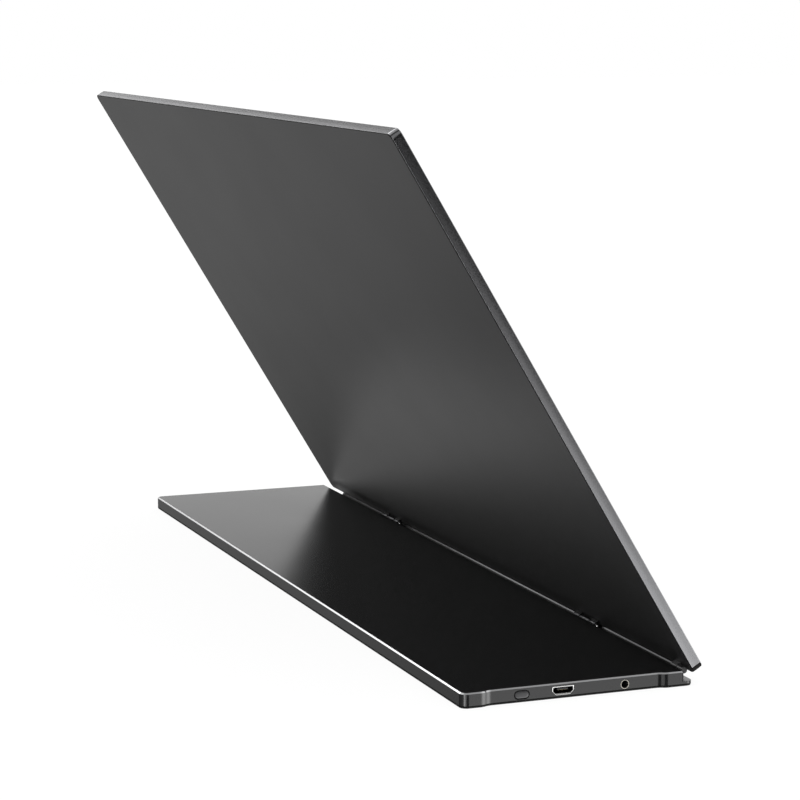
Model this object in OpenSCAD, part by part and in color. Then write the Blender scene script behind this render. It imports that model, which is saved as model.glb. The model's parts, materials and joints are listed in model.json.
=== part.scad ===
// Portable monitor on a folding foot.
// A thin screen panel leans back over a shallow flat foot. Two small friction hinges join
// them along the foot's front edge, so the panel folds down flat over the foot.
// Millimetres. +Z is up, the screen faces -Y, the foot reaches back to +Y, the sockets
// are on the -X end. The origin is under the middle of the whole object, on the desk.

/* [Screen] */
// Width of the lit picture
picture_w = 344.2; // [300:0.1:390]
// Height of the lit picture
picture_h = 193.6; // [170:0.1:220]
// Black border at each side of the picture
border_side = 6.4; // [5.6:0.1:9]
// Black border above the picture
border_top = 5; // [4.5:0.1:9]
// Black border below the picture, in front of the timing board
border_bottom = 11.4; // [10.8:0.1:20]
// Thickness of the front glass
glass_t = 0.7; // [0.5:0.05:0.8]
// Thickness of the liquid crystal cell
cell_t = 0.85; // [0.7:0.05:0.95]
// Thickness of the stack of optical films
films_t = 0.3; // [0.2:0.05:0.4]
// How far the glass lies below the rim
glass_set_back = 0.05; // [0.02:0.01:0.1]

/* [Panel] */
// Thickness of the panel
panel_t = 3.8; // [3.8:0.1:5]
// Radius of the panel's four corners, seen from the front
panel_corner_r = 2.5; // [1.5:0.1:5]
// Bevel round the back of the panel
back_bevel = 0.3; // [0.1:0.05:0.5]
// Bevel round the front rim of the panel
rim_bevel = 0.2; // [0.1:0.05:0.4]
// Thickness of the panel's metal back wall
back_wall = 0.7; // [0.6:0.05:0.9]
// Thickness of the panel's metal side walls
rim_wall = 1; // [0.8:0.05:1.2]

/* [Foot] */
// Depth of the foot behind its front wall line
foot_depth = 79.5; // [70:0.5:110]
// Height of the foot's top above the desk
foot_t = 5.1; // [5:0.1:6.5]
// Thickness of the rubber sole
sole_t = 0.4; // [0.3:0.05:0.5]
// Thickness of the steel base plate
base_t = 0.6; // [0.4:0.05:0.6]
// Thickness of the housing's top
foot_top_wall = 0.8; // [0.7:0.05:1]
// Thickness of the housing's side walls
foot_side_wall = 1.2; // [1:0.05:1.5]
// Polished bevel round the housing's top
foot_bevel = 0.45; // [0.2:0.05:0.5]
// Radius of the foot's rear corners
foot_rear_r = 2.6; // [2:0.1:6]
// Radius of the foot's front corners, beside the hinge channel
foot_front_r = 0.8; // [0.4:0.1:1.5]
// Reach of the thin front flange ahead of the front wall
flange_reach = 3.5; // [3.2:0.1:5]
// Height of the front flange's top above the desk
flange_top = 1.6; // [1.4:0.1:1.8]
// Radius of the flange's corners
flange_r = 2.5; // [1:0.1:2.8]

/* [Socket recess] */
// Depth of the shallow recess in the socket end
recess_depth = 1; // [0.6:0.1:1.2]
// Distance from the front wall to where the recess starts
recess_front = 5.6; // [4:0.1:8]
// Distance from the rear face to where the recess ends
recess_rear = 6.3; // [5:0.1:9]
// Length of the front blend curve
blend_front = 3.9; // [3:0.1:6]
// Length of the rear blend curve
blend_rear = 4.6; // [3:0.1:6]

/* [Sockets and button] */
// Distance of the audio jack from the front wall
jack_y = 21.2; // [18:0.1:28]
// Height of the jack's centre above the desk
jack_z = 2.45; // [2.45:0.05:2.6]
// Radius of the jack's bore
jack_r = 1.25; // [1.2:0.01:1.3]
// Depth of the jack's bore from its mouth
jack_bore_len = 9; // [8:0.5:11]
// Outer radius of the jack's metal ring
jack_ring_r = 1.6; // [1.55:0.01:1.7]
// Distance of the data socket from the front wall
usb_y = 43.4; // [38:0.1:48]
// Height of the data socket's centre above the desk
usb_z = 2.6; // [2.6:0.05:2.7]
// Width of the data socket's flared rim
usb_rim_w = 7.9; // [7.6:0.1:8]
// Height of the data socket's flared rim
usb_rim_h = 3.1; // [2.9:0.1:3.1]
// Width of the data socket's opening
usb_open_w = 6.9; // [6.8:0.05:7]
// Height of the data socket's opening
usb_open_h = 1.85; // [1.8:0.05:2]
// Thickness of the data socket's sheet metal
usb_sheet = 0.3; // [0.2:0.05:0.35]
// Length of the data socket behind the wall's outer face
usb_len = 5.6; // [5:0.1:7]
// Distance of the power button from the front wall
button_y = 58.1; // [54:0.1:62]
// Height of the button's centre above the desk
button_z = 2.5; // [2.45:0.05:2.7]
// Length of the button's pill-shaped face
button_len = 4.8; // [4:0.1:6]
// Height of the button's pill-shaped face
button_h = 2.3; // [2:0.05:2.35]
// Gap round the button
button_gap = 0.3; // [0.2:0.02:0.35]
// How far the button stands out of the recess
button_proud = 0.25; // [0.1:0.05:0.4]
// How far the button can be pressed
button_travel = 0.3; // [0.2:0.05:0.4]

/* [Hinge] */
// Tilt of the panel above the foot, 0 folded flat and 90 upright
open_angle = 59; // [0:1:90]
// Gap between the folded panel and the foot
fold_gap = 0.3; // [0.25:0.05:0.5]
// Height of the folded panel's back above the hinge axis
axis_drop = 1.33; // [1.3:0.01:1.5]
// Distance of the hinge axis from the panel's bottom edge
axis_inset = 1.29; // [1.25:0.01:1.5]
// Radius of the hinge knuckles
knuckle_r = 1.05; // [0.95:0.01:1.1]
// Radius of the hinge pins
pin_r = 0.5; // [0.45:0.01:0.6]
// Running gap between pin and panel knuckle, on the radius
pin_play = 0.03; // [0.02:0.005:0.05]
// Distance of each hinge's middle from the centre line
hinge_x = 97.75; // [70:0.25:130]
// Length of each hinge
hinge_len = 17.9; // [14:0.1:24]
// Length of the foot knuckle in each hinge's middle
foot_knuckle_len = 8; // [6:0.1:10]
// Gap between neighbouring knuckles
knuckle_gap = 0.3; // [0.2:0.05:0.4]
// Thickness of the foot's hinge leaves
foot_leaf_t = 0.8; // [0.7:0.05:0.9]
// Thickness of the panel's hinge leaves
panel_leaf_t = 0.6; // [0.5:0.05:0.7]
// Distance from the panel's sides to the ends of the strip along its bottom edge
strip_end = 14.3; // [10:0.1:30]
// Thickness of the strip
strip_t = 0.8; // [0.5:0.05:0.9]
// How far the strip hangs behind the panel's back
strip_drop = 0.9; // [0.8:0.05:1]

/* [Cable] */
// Radius of the screen cable
cable_r = 0.35; // [0.3:0.01:0.38]
// Radius of the hollow knuckles that the cable goes through
cable_knuckle_r = 1.05; // [1:0.01:1.1]
// Radius of the bore in the hollow knuckles
cable_bore_r = 0.6; // [0.58:0.01:0.65]
// Distance from the foot's end face to the cable guide
cable_guide_end = 4.3; // [3.5:0.1:8]
// Length of the cable guide on the foot and of the boot on the panel
cable_guide_len = 3.9; // [3.5:0.1:5]

/* [Boards] */
// Length of the main board along the foot
board_len = 56; // [45:1:90]
// Depth of the main board
board_depth = 61; // [56:1:61]
// Thickness of the boards
board_t = 0.6; // [0.5:0.05:0.7]
// Length of the timing board in the panel
timing_len = 150; // [100:1:160]

/* [Screws] */
// Radius of the small screws' shanks
screw_r = 0.7; // [0.6:0.05:0.8]
// Radius of the small screws' heads
screw_head_r = 1.4; // [1.2:0.05:1.6]
// Thickness of the small screws' heads
screw_head_t = 0.3; // [0.2:0.05:0.35]
// Radius of the bosses that the screws bite in
boss_r = 2.2; // [1.8:0.1:2.6]

/* [Hidden] */

$fn = 48;
cut = 0.5;                                   // how far a cutter runs past a face
fit_gap = 0.15;                              // clearance round a piece that drops into a pocket
corner_steps = 10;                           // chords in each corner of an outline

panel_w = picture_w + 2 * border_side;
panel_len = picture_h + border_top + border_bottom;
half_w = panel_w / 2;
front_wall_y = 0;                            // the foot's front wall, which places all the rest
rear_y = front_wall_y + foot_depth;
flange_y = front_wall_y - flange_reach;
ceiling_z = foot_t - foot_top_wall;
floor_z = sole_t + base_t;
socket_face_x = -half_w + recess_depth;      // outer face of the wall inside the recess
socket_wall_x = socket_face_x + foot_side_wall;

// The folded panel's bottom edge is flush with the flange, and its back is just over the foot
axis_y = flange_y + axis_inset;
axis_z = foot_t + fold_gap - axis_drop;

strip_front = panel_t - rim_bevel - strip_t / 2;     // the strip's front edge, behind the rim bevel

// The whole object's middle, which the origin is put under
function opened(v, w) = [
    axis_y + (v - axis_inset) * cos(open_angle) - (w + axis_drop) * sin(open_angle),
    axis_z + (v - axis_inset) * sin(open_angle) + (w + axis_drop) * cos(open_angle)
];
low_y = min(
    flange_y, opened(rim_bevel, panel_t)[0], opened(0, panel_t - rim_bevel)[0],
    opened(-strip_t, strip_front)[0]
);
high_y = max(rear_y, opened(panel_len - back_bevel, 0)[0], opened(panel_len, back_bevel)[0]);
middle_y = (low_y + high_y) / 2;

// Layers inside the panel, from its back to its glass
glass_w = panel_t - glass_set_back - glass_t;
cell_w = glass_w - cell_t;
films_w = cell_w - films_t;
adhesive_t = 0.15;
cell_margin = 1.6;                           // dark margin of the cell round the picture
cell_half_w = picture_w / 2 + cell_margin;
cell_top = border_bottom + picture_h + cell_margin;
cell_low = border_bottom - cell_margin;
frame_bar = 1.2;                             // the frame's bar between the cell and the boards
adhesive_w = 1.6;                            // width of the tape that holds the glass
chin_low = rim_wall + fit_gap + adhesive_w;  // the room for boards starts here
chin_top = cell_low - frame_bar;             // and ends here
chin_gap = 0.4;                              // between the frame's bar and what lies in that room

// ---- Frames of the two main bodies -------------------------------------------------

// Foot pieces are drawn with y from the front wall's face
module in_foot() {
    translate([0, -middle_y, 0]) children();
}

// Panel pieces are drawn lying flat: x across, y up from the bottom edge, z from the
// back's outer face towards the glass
module in_panel() {
    translate([0, axis_y - middle_y, axis_z])
        rotate([open_angle, 0, 0])
            translate([0, -axis_inset, axis_drop])
                children();
}

// ---- Shared shapes -----------------------------------------------------------------

// Points of an arc, from angle a to angle b
function arc(x, y, r, a, b, steps = corner_steps) =
    [for (i = [0:steps]) [x + r * cos(a + (b - a) * i / steps), y + r * sin(a + (b - a) * i / steps)]];

// A rectangle with round corners, drawn in by inset
function rounded_points(x0, x1, y0, y1, r, inset = 0) = let (c = max(r - inset, 0.05)) concat(
    arc(x1 - inset - c, y0 + inset + c, c, -90, 0),
    arc(x1 - inset - c, y1 - inset - c, c, 0, 90),
    arc(x0 + inset + c, y1 - inset - c, c, 90, 180),
    arc(x0 + inset + c, y0 + inset + c, c, 180, 270)
);

// An S blend is two equal arcs: its radius and the angle that each turns through
function blend_r(run) = (run * run + recess_depth * recess_depth) / (4 * recess_depth);
function blend_angle(run) = 2 * atan(recess_depth / run);

// The foot's outline with the recess at its socket end, drawn in by inset
function foot_points(front, front_r, inset = 0) =
    let (
        r1 = blend_r(blend_rear), a1 = blend_angle(blend_rear),
        r2 = blend_r(blend_front), a2 = blend_angle(blend_front),
        y1 = rear_y - recess_rear, y2 = front_wall_y + recess_front,
        low_x = -half_w, deep_x = socket_face_x
    )
    concat(
        arc(half_w - front_r, front + front_r, front_r - inset, -90, 0),
        arc(half_w - foot_rear_r, rear_y - foot_rear_r, foot_rear_r - inset, 0, 90),
        arc(low_x + foot_rear_r, rear_y - foot_rear_r, foot_rear_r - inset, 90, 180),
        arc(low_x + r1, y1, r1 - inset, 180, 180 + a1),
        arc(deep_x - r1, y1 - blend_rear, r1 + inset, a1, 0),
        arc(deep_x - r2, y2 + blend_front, r2 + inset, 0, -a2),
        arc(low_x + r2, y2, r2 - inset, 180 - a2, 180),
        arc(low_x + front_r, front + front_r, front_r - inset, 180, 270)
    );

// A bevelled layer between two outlines with as many points each
module bevel_layer(lower, upper, z0, z1) {
    n = len(lower);
    polyhedron(
        points = concat([for (p = lower) [p[0], p[1], z0]], [for (p = upper) [p[0], p[1], z1]]),
        faces = concat(
            [[for (i = [0:n - 1]) i]],
            [[for (i = [n - 1:-1:0]) n + i]],
            [for (i = [0:n - 1]) [i, n + i, n + (i + 1) % n, (i + 1) % n]]
        )
    );
}

module plate(points, z0, z1) {
    translate([0, 0, z0]) linear_extrude(z1 - z0) polygon(points);
}

module block(x0, x1, y0, y1, z0, z1) {
    translate([x0, y0, z0]) cube([x1 - x0, y1 - y0, z1 - z0]);
}

module post(x, y, z0, z1, r) {
    translate([x, y, z0]) cylinder(h = z1 - z0, r = r);
}

// A round bar along x
module bar(x0, x1, y, z, r) {
    translate([x0, y, z]) rotate([0, 90, 0]) cylinder(h = x1 - x0, r = r);
}

// A pill-shaped bar along x: round ends along y
module pill(x0, x1, y, z, len, height) {
    r = height / 2;
    for (side = [-1, 1]) bar(x0, x1, y + side * (len / 2 - r), z, r);
    block(x0, x1, y - len / 2 + r, y + len / 2 - r, z - r, z + r);
}

module mirrored(side) {
    if (side < 0) mirror([1, 0, 0]) children();
    else children();
}

// ---- Places of screws and bosses ----------------------------------------------------

base_screw_inset = 5.5;                      // from the front wall and the rear face
base_screw_end = 9;                          // from the foot's ends
base_screw_mid = 50;                         // from the centre line
base_screw_places = [
    for (x = [-half_w + base_screw_end, -base_screw_mid, base_screw_mid, half_w - base_screw_end])
        for (y = [front_wall_y + base_screw_inset, rear_y - base_screw_inset]) [x, y]
];

board_x0 = socket_wall_x + 1.3;             // behind the pressed button's collar
board_x1 = board_x0 + board_len;
board_y0 = front_wall_y + 9;
board_y1 = board_y0 + board_depth;
board_z = 1.6;
board_screw_inset = 3.5;
board_screw_end = 14;                        // clears the connectors at the board's end
board_screw_places = [
    for (x = [board_x0 + board_screw_end, board_x1 - board_screw_inset])
        for (y = [board_y0 + board_screw_inset, board_y1 - board_screw_inset]) [x, y]
];

leaf_screw_dx = 5.2;                         // half the spacing of each leaf's two screws
foot_leaf_z = 2.9;
foot_leaf_reach = 12;                        // how far the leaf goes in behind the wall
foot_leaf_screw_y = front_wall_y + 7.5;
foot_leaf_places = [for (s = [-1, 1]) for (d = [-1, 1]) [s * hinge_x + d * leaf_screw_dx, foot_leaf_screw_y]];

panel_leaf_reach = chin_top - chin_gap;
panel_leaf_screw_y = (axis_inset + knuckle_r + panel_leaf_reach) / 2;
panel_leaf_places = [for (s = [-1, 1]) for (d = [-1, 1]) [s * hinge_x + d * leaf_screw_dx, panel_leaf_screw_y]];

// ---- Foot ---------------------------------------------------------------------------

jack_place_y = front_wall_y + jack_y;
usb_place_y = front_wall_y + usb_y;
button_place_y = front_wall_y + button_y;
cavity_x1 = half_w - foot_side_wall;
cavity_y0 = front_wall_y + foot_side_wall;
cavity_y1 = rear_y - foot_side_wall;
cavity_r = foot_rear_r - foot_side_wall;
guide_x0 = -half_w + cable_guide_end;
guide_x1 = guide_x0 + cable_guide_len;
cable_z = ceiling_z - cable_r - 0.1;         // the cable runs just under the ceiling

module foot_housing() {
    color("#4a4b4d") in_foot() difference() {
        union() {
            plate(foot_points(flange_y, flange_r), sole_t, flange_top);
            plate(foot_points(front_wall_y, foot_front_r), flange_top, foot_t - foot_bevel);
            bevel_layer(
                foot_points(front_wall_y, foot_front_r),
                foot_points(front_wall_y, foot_front_r, foot_bevel),
                foot_t - foot_bevel, foot_t
            );
        }
        foot_cavity();
        sockets_in_wall();
        for (side = [-1, 1]) leaf_slot(side * hinge_x);
        cable_slot();
        for (p = concat(base_screw_places, board_screw_places, foot_leaf_places))
            post(p[0], p[1], ceiling_z - cut, ceiling_z + foot_top_wall / 2, screw_r);
    }
}

// The hollow under the top, with the bosses left standing in it
module foot_cavity() {
    difference() {
        plate(
            rounded_points(socket_wall_x, cavity_x1, cavity_y0, cavity_y1, cavity_r),
            sole_t - cut, ceiling_z
        );
        for (p = base_screw_places) hollow_boss(p, floor_z);
        for (p = board_screw_places) hollow_boss(p, board_z + board_t);
        for (p = foot_leaf_places) hollow_boss(p, foot_leaf_z + foot_leaf_t);
    }
}

module hollow_boss(place, z0) {
    difference() {
        post(place[0], place[1], z0, ceiling_z + cut, boss_r);
        post(place[0], place[1], z0 - cut, ceiling_z + 2 * cut, screw_r);
    }
}

module sockets_in_wall() {
    x0 = socket_face_x - cut;
    x1 = socket_wall_x + cut;
    bar(x0, x1, jack_place_y, jack_z, jack_ring_r);
    usb_outline(x0, x1, usb_rim_w, usb_rim_h);
    pill(x0, x1, button_place_y, button_z, button_len + 2 * button_gap, button_h + 2 * button_gap);
}

// The data socket's section: a flat box whose two lower corners are cut away
module usb_outline(x0, x1, width, height) {
    corner = height * 0.42;
    translate([x0, usb_place_y, usb_z])
        rotate([90, 0, 90])
            linear_extrude(x1 - x0)
                polygon([
                    [-width / 2, height / 2], [-width / 2, -height / 2 + corner],
                    [-width / 2 + corner, -height / 2], [width / 2 - corner, -height / 2],
                    [width / 2, -height / 2 + corner], [width / 2, height / 2]
                ]);
}

module leaf_slot(x) {
    half = foot_knuckle_len / 2 + fit_gap;
    block(
        x - half, x + half, front_wall_y - cut, cavity_y0 + cut,
        foot_leaf_z - fit_gap, foot_leaf_z + foot_leaf_t + fit_gap
    );
}

guide_neck_z0 = cable_z - cable_r - 0.35;
guide_neck_z1 = cable_z + cable_r + 0.1;

module cable_slot() {
    block(guide_x0, guide_x1, front_wall_y - cut, cavity_y0 + cut, guide_neck_z0, guide_neck_z1);
}

module base_plate() {
    color("#2c2d2f") in_foot() difference() {
        plate(
            rounded_points(socket_wall_x, cavity_x1, cavity_y0, cavity_y1, cavity_r, fit_gap),
            sole_t, floor_z
        );
        for (p = base_screw_places) {
            post(p[0], p[1], sole_t - cut, floor_z + cut, screw_r);
            post(p[0], p[1], sole_t - cut, sole_t + screw_head_t, screw_head_r);
        }
    }
}

module rubber_sole() {
    color("#101011") in_foot()
        plate(foot_points(flange_y, flange_r, fit_gap), 0, sole_t);
}

// A flat-headed screw standing on its head, with its shank going up
module screw_up(place, head_z, length) {
    post(place[0], place[1], head_z, head_z + screw_head_t, screw_head_r);
    post(place[0], place[1], head_z, head_z + length, screw_r);
}

module base_screws() {
    color("#8d8f92") in_foot()
        for (p = base_screw_places) screw_up(p, sole_t, 3.2);
}

module main_board() {
    color("#1d4d33") in_foot() difference() {
        block(board_x0, board_x1, board_y0, board_y1, board_z, board_z + board_t);
        block(
            board_x0 - cut, socket_face_x + usb_len + fit_gap,
            usb_place_y - usb_body_w / 2 - fit_gap, usb_place_y + usb_body_w / 2 + fit_gap,
            board_z - cut, board_z + board_t + cut
        );
        block(
            board_x0 - cut, jack_back_x + fit_gap,
            jack_place_y - jack_body_w / 2 - fit_gap, jack_place_y + jack_body_w / 2 + fit_gap,
            board_z - cut, board_z + board_t + cut
        );
        for (p = board_screw_places) post(p[0], p[1], board_z - cut, board_z + board_t + cut, screw_r);
    }
}

module board_screws() {
    color("#8d8f92") in_foot()
        for (p = board_screw_places) screw_up(p, board_z - screw_head_t, 2.2);
}

shield_inset = 20;                           // from the board's end and front edge
shield_len = 26;
shield_depth = 22;
shield_h = 1.3;

module processor_shield() {
    x0 = board_x0 + shield_inset;
    y0 = board_y0 + shield_inset;
    z0 = board_z + board_t;
    color("#b9bbbd") in_foot()
        block(x0, x0 + shield_len, y0, y0 + shield_depth, z0, z0 + shield_h);
}

button_foot_x = socket_wall_x + 0.65;        // the button's inner end
switch_x = button_foot_x + button_travel + 0.05;

module power_switch() {
    z0 = board_z + board_t;
    color("#c4c5c7") in_foot() {
        block(switch_x + 0.6, switch_x + 3.2, button_place_y - 2.3, button_place_y + 2.3, z0, z0 + 1.5);
        block(switch_x, switch_x + 0.6, button_place_y - 0.8, button_place_y + 0.8, z0 + 0.2, z0 + 1.2);
    }
}

usb_body_w = usb_open_w + 2 * usb_sheet;
usb_body_h = usb_open_h + 2 * usb_sheet;

module usb_shell() {
    rim_len = 0.5;
    x1 = socket_face_x + usb_len;
    ear = 1;
    color("#c9cacc") in_foot() difference() {
        union() {
            usb_outline(socket_face_x, socket_face_x + rim_len, usb_rim_w, usb_rim_h);
            usb_outline(socket_face_x, x1, usb_body_w, usb_body_h);
            block(
                x1 - 2.4, x1 - 0.8,
                usb_place_y - usb_body_w / 2 - ear, usb_place_y + usb_body_w / 2 + ear,
                board_z + board_t, board_z + board_t + usb_sheet
            );
        }
        usb_outline(socket_face_x - cut, x1 - usb_sheet, usb_open_w, usb_open_h);
    }
}

module usb_tongue() {
    tongue_w = 3.9;
    tongue_t = 0.6;
    x1 = socket_face_x + usb_len - usb_sheet;
    z1 = usb_z + usb_open_h / 2 - 0.25;
    color("#1a1a1b") in_foot() {
        block(socket_face_x + 0.7, x1, usb_place_y - tongue_w / 2, usb_place_y + tongue_w / 2, z1 - tongue_t, z1);
        block(x1 - 1.2, x1, usb_place_y - 2.4, usb_place_y + 2.4, z1 - 1.1, usb_z + usb_open_h / 2);
    }
}

jack_body_w = 5;
jack_mouth = 0.8;                            // depth of the ring that the jack's body stops behind
jack_back_x = socket_face_x + jack_bore_len + 1.2;

module jack_body() {
    x0 = socket_wall_x + 0.05;
    color("#161617") in_foot() difference() {
        union() {
            block(
                x0, jack_back_x, jack_place_y - jack_body_w / 2, jack_place_y + jack_body_w / 2,
                floor_z + 0.05, jack_z + jack_r + 0.3
            );
            bar(socket_face_x + jack_mouth, x0, jack_place_y, jack_z, jack_ring_r);
            for (side = [-1, 1])
                block(
                    jack_back_x - 4, jack_back_x - 2.5,
                    jack_place_y - jack_body_w / 2 - (side > 0 ? 0 : 1.2),
                    jack_place_y + jack_body_w / 2 + (side > 0 ? 1.2 : 0),
                    board_z + board_t, board_z + board_t + 0.3
                );
        }
        bar(socket_face_x - cut, socket_face_x + jack_bore_len, jack_place_y, jack_z, jack_r);
    }
}

module jack_ring() {
    color("#b3a888") in_foot() difference() {
        bar(socket_face_x, socket_face_x + jack_mouth, jack_place_y, jack_z, jack_ring_r);
        bar(socket_face_x - cut, socket_face_x + jack_mouth + cut, jack_place_y, jack_z, jack_r);
    }
}

// ---- Button -------------------------------------------------------------------------

module power_button() {
    collar_len = button_len + 2;
    collar_h = button_h + 0.3;
    collar_x = socket_wall_x + 0.05;
    color("#58595b") in_foot() {
        pill(socket_face_x - button_proud, collar_x, button_place_y, button_z, button_len, button_h);
        pill(collar_x, button_foot_x, button_place_y, button_z, collar_len, collar_h);
    }
}

// ---- Hinges -------------------------------------------------------------------------

module hinge_foot_leaf(side) {
    half = foot_knuckle_len / 2;
    wide = hinge_len / 2;
    x = hinge_x;
    leaf_back = front_wall_y + foot_leaf_reach;
    color("#77797c") in_foot() mirrored(side) difference() {
        union() {
            bar(x - half, x + half, axis_y, axis_z, knuckle_r);
            block(x - half, x + half, axis_y, leaf_back, foot_leaf_z, foot_leaf_z + foot_leaf_t);
            block(
                x - wide, x + wide, cavity_y0 + fit_gap, leaf_back,
                foot_leaf_z, foot_leaf_z + foot_leaf_t
            );
        }
        bar(x - half - cut, x + half + cut, axis_y, axis_z, pin_r);
        for (d = [-1, 1])
            post(x + d * leaf_screw_dx, foot_leaf_screw_y, foot_leaf_z - cut, foot_leaf_z + foot_leaf_t + cut, screw_r);
    }
}

module hinge_foot_leaf_left() { hinge_foot_leaf(-1); }
module hinge_foot_leaf_right() { hinge_foot_leaf(1); }

module foot_leaf_screws() {
    color("#8d8f92") in_foot()
        for (p = foot_leaf_places) screw_up(p, foot_leaf_z - screw_head_t, screw_head_t + foot_leaf_t + 0.9);
}

module hinge_pin(side) {
    color("#a6a8ab") in_foot() mirrored(side)
        bar(hinge_x - hinge_len / 2, hinge_x + hinge_len / 2, axis_y, axis_z, pin_r);
}

module hinge_pin_left() { hinge_pin(-1); }
module hinge_pin_right() { hinge_pin(1); }

panel_knuckle_len = (hinge_len - foot_knuckle_len) / 2 - knuckle_gap;
neck_y1 = axis_inset + knuckle_r;            // the neck leaves the knuckle at its far side
neck_y0 = neck_y1 - 0.9;

module hinge_panel_leaf(side) {
    x0 = hinge_x - hinge_len / 2;
    x1 = hinge_x + hinge_len / 2;
    color("#77797c") in_panel() mirrored(side) difference() {
        union() {
            for (x = [x0, x1 - panel_knuckle_len]) {
                bar(x, x + panel_knuckle_len, axis_inset, -axis_drop, knuckle_r);
                block(x, x + panel_knuckle_len, neck_y0, neck_y1, -axis_drop, back_wall + panel_leaf_t);
            }
            block(x0, x1, neck_y0, panel_leaf_reach, back_wall, back_wall + panel_leaf_t);
        }
        bar(x0 - cut, x1 + cut, axis_inset, -axis_drop, pin_r + pin_play);
        for (d = [-1, 1])
            post(hinge_x + d * leaf_screw_dx, panel_leaf_screw_y, back_wall - cut, back_wall + panel_leaf_t + cut, screw_r);
    }
}

module hinge_panel_leaf_left() { hinge_panel_leaf(-1); }
module hinge_panel_leaf_right() { hinge_panel_leaf(1); }

panel_screw_depth = back_wall - 0.3;         // blind, so that the panel's back stays plain

module panel_leaf_screws() {
    z1 = back_wall + panel_leaf_t;
    color("#8d8f92") in_panel()
        for (p = panel_leaf_places) {
            post(p[0], p[1], back_wall - panel_screw_depth, z1, screw_r);
            post(p[0], p[1], z1, z1 + screw_head_t, screw_head_r);
        }
}

// ---- Screen cable ------------------------------------------------------------------

// The cable turns along the hinge axis inside two hollow knuckles, where it twists
cable_bend_x = guide_x0 + cable_guide_len / 2;
boot_x0 = guide_x1 + knuckle_gap;
boot_x1 = boot_x0 + cable_guide_len;
boot_bend_x = boot_x0 + cable_guide_len / 2;
cable_rise_y = axis_inset + 0.2;
cable_panel_z = back_wall + panel_leaf_t + cable_r + 0.1;     // passes over the hinge leaf

module cable_guide() {
    color("#2a2b2d") in_foot() difference() {
        union() {
            bar(guide_x0, guide_x1, axis_y, axis_z, cable_knuckle_r);
            block(
                guide_x0 + fit_gap, guide_x1 - fit_gap, axis_y, cavity_y0 + 1,
                guide_neck_z0 + 0.05, guide_neck_z1 - 0.05
            );
        }
        bar(guide_x0 + 0.6, guide_x1 + cut, axis_y, axis_z, cable_bore_r);
        cable_run_in_foot(cable_r + 0.05);
    }
}

// The straight run from the guide's bore back into the foot
module cable_run_in_foot(r) {
    translate([cable_bend_x, axis_y, cable_z]) rotate([-90, 0, 0])
        cylinder(h = board_y0 + 2 - axis_y, r = r);
}

module cable_in_foot() {
    color("#1b1b1c") in_foot() {
        cable_run_in_foot(cable_r);
        bar(cable_bend_x, boot_x0 - knuckle_gap, axis_y, cable_z, cable_r);
        translate([cable_bend_x, axis_y, cable_z]) sphere(r = cable_r);
        block(
            cable_bend_x - cable_r, cable_bend_x + 3, board_y0 + 2, board_y0 + 7,
            board_z + board_t, cable_z + cable_r
        );
    }
}

module cable_boot() {
    color("#2a2b2d") in_panel() difference() {
        union() {
            bar(boot_x0, boot_x1, axis_inset, -axis_drop, cable_knuckle_r);
            block(boot_x0, boot_x1, axis_inset - cable_knuckle_r, axis_inset + cable_knuckle_r, -axis_drop, 0);
        }
        bar(boot_x0 - cut, boot_x1 - 0.6, axis_inset, -axis_drop, cable_bore_r);
        post(boot_bend_x, cable_rise_y, -axis_drop, cut, cable_r + 0.1);
    }
}

module cable_in_panel() {
    color("#1b1b1c") in_panel() {
        bar(boot_x0 + 0.1, boot_bend_x, cable_rise_y, -axis_drop, cable_r);
        translate([boot_bend_x, cable_rise_y, -axis_drop]) sphere(r = cable_r);
        post(boot_bend_x, cable_rise_y, -axis_drop, cable_panel_z, cable_r);
        translate([boot_bend_x, cable_rise_y, cable_panel_z]) sphere(r = cable_r);
        bar(boot_bend_x, -timing_len / 2, cable_rise_y, cable_panel_z, cable_r);
    }
}

// ---- Panel --------------------------------------------------------------------------

function panel_points(inset = 0) =
    rounded_points(-half_w, half_w, 0, panel_len, panel_corner_r, inset);

module back_cover() {
    color("#55575a") in_panel() difference() {
        union() {
            bevel_layer(panel_points(back_bevel), panel_points(), 0, back_bevel);
            plate(panel_points(), back_bevel, panel_t - rim_bevel);
            bevel_layer(panel_points(), panel_points(rim_bevel), panel_t - rim_bevel, panel_t);
        }
        plate(panel_points(rim_wall), back_wall, panel_t + cut);
        for (s = [-1, 1]) for (d = [-1, 1]) neck_slot(s, d);
        for (p = panel_leaf_places)
            post(p[0], p[1], back_wall - panel_screw_depth, back_wall + cut, screw_r);
        post(boot_bend_x, cable_rise_y, -cut, back_wall + cut, cable_r + 0.1);
    }
}

// Where a hinge leaf's neck goes through the back wall
module neck_slot(side, end) {
    x = side * hinge_x + end * (hinge_len - panel_knuckle_len) / 2;
    half = panel_knuckle_len / 2 + fit_gap;
    block(x - half, x + half, neck_y0 - fit_gap, neck_y1 + fit_gap, -cut, back_wall + cut);
}

module middle_frame() {
    outer = rim_wall + fit_gap;
    side_in = cell_half_w + fit_gap;
    color("#232425") in_panel() difference() {
        plate(panel_points(outer), back_wall, glass_w - adhesive_t);
        block(
            -side_in, side_in, cell_low - fit_gap, cell_top + fit_gap,
            back_wall - cut, glass_w + cut
        );
        block(-side_in, side_in, chin_low, chin_top, back_wall - cut, glass_w + cut);
        block(-side_in, side_in, rim_wall - cut, chin_low + cut, back_wall - cut, cable_panel_z + cable_r + 0.1);
    }
}

module light_guide() {
    color("#e9ecee") in_panel()
        block(-cell_half_w, cell_half_w, cell_low + cell_margin, cell_top, back_wall, films_w);
}

module led_strip() {
    color("#e3d9a0") in_panel()
        block(-cell_half_w, cell_half_w, cell_low, cell_low + cell_margin - fit_gap, back_wall, films_w);
}

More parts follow.
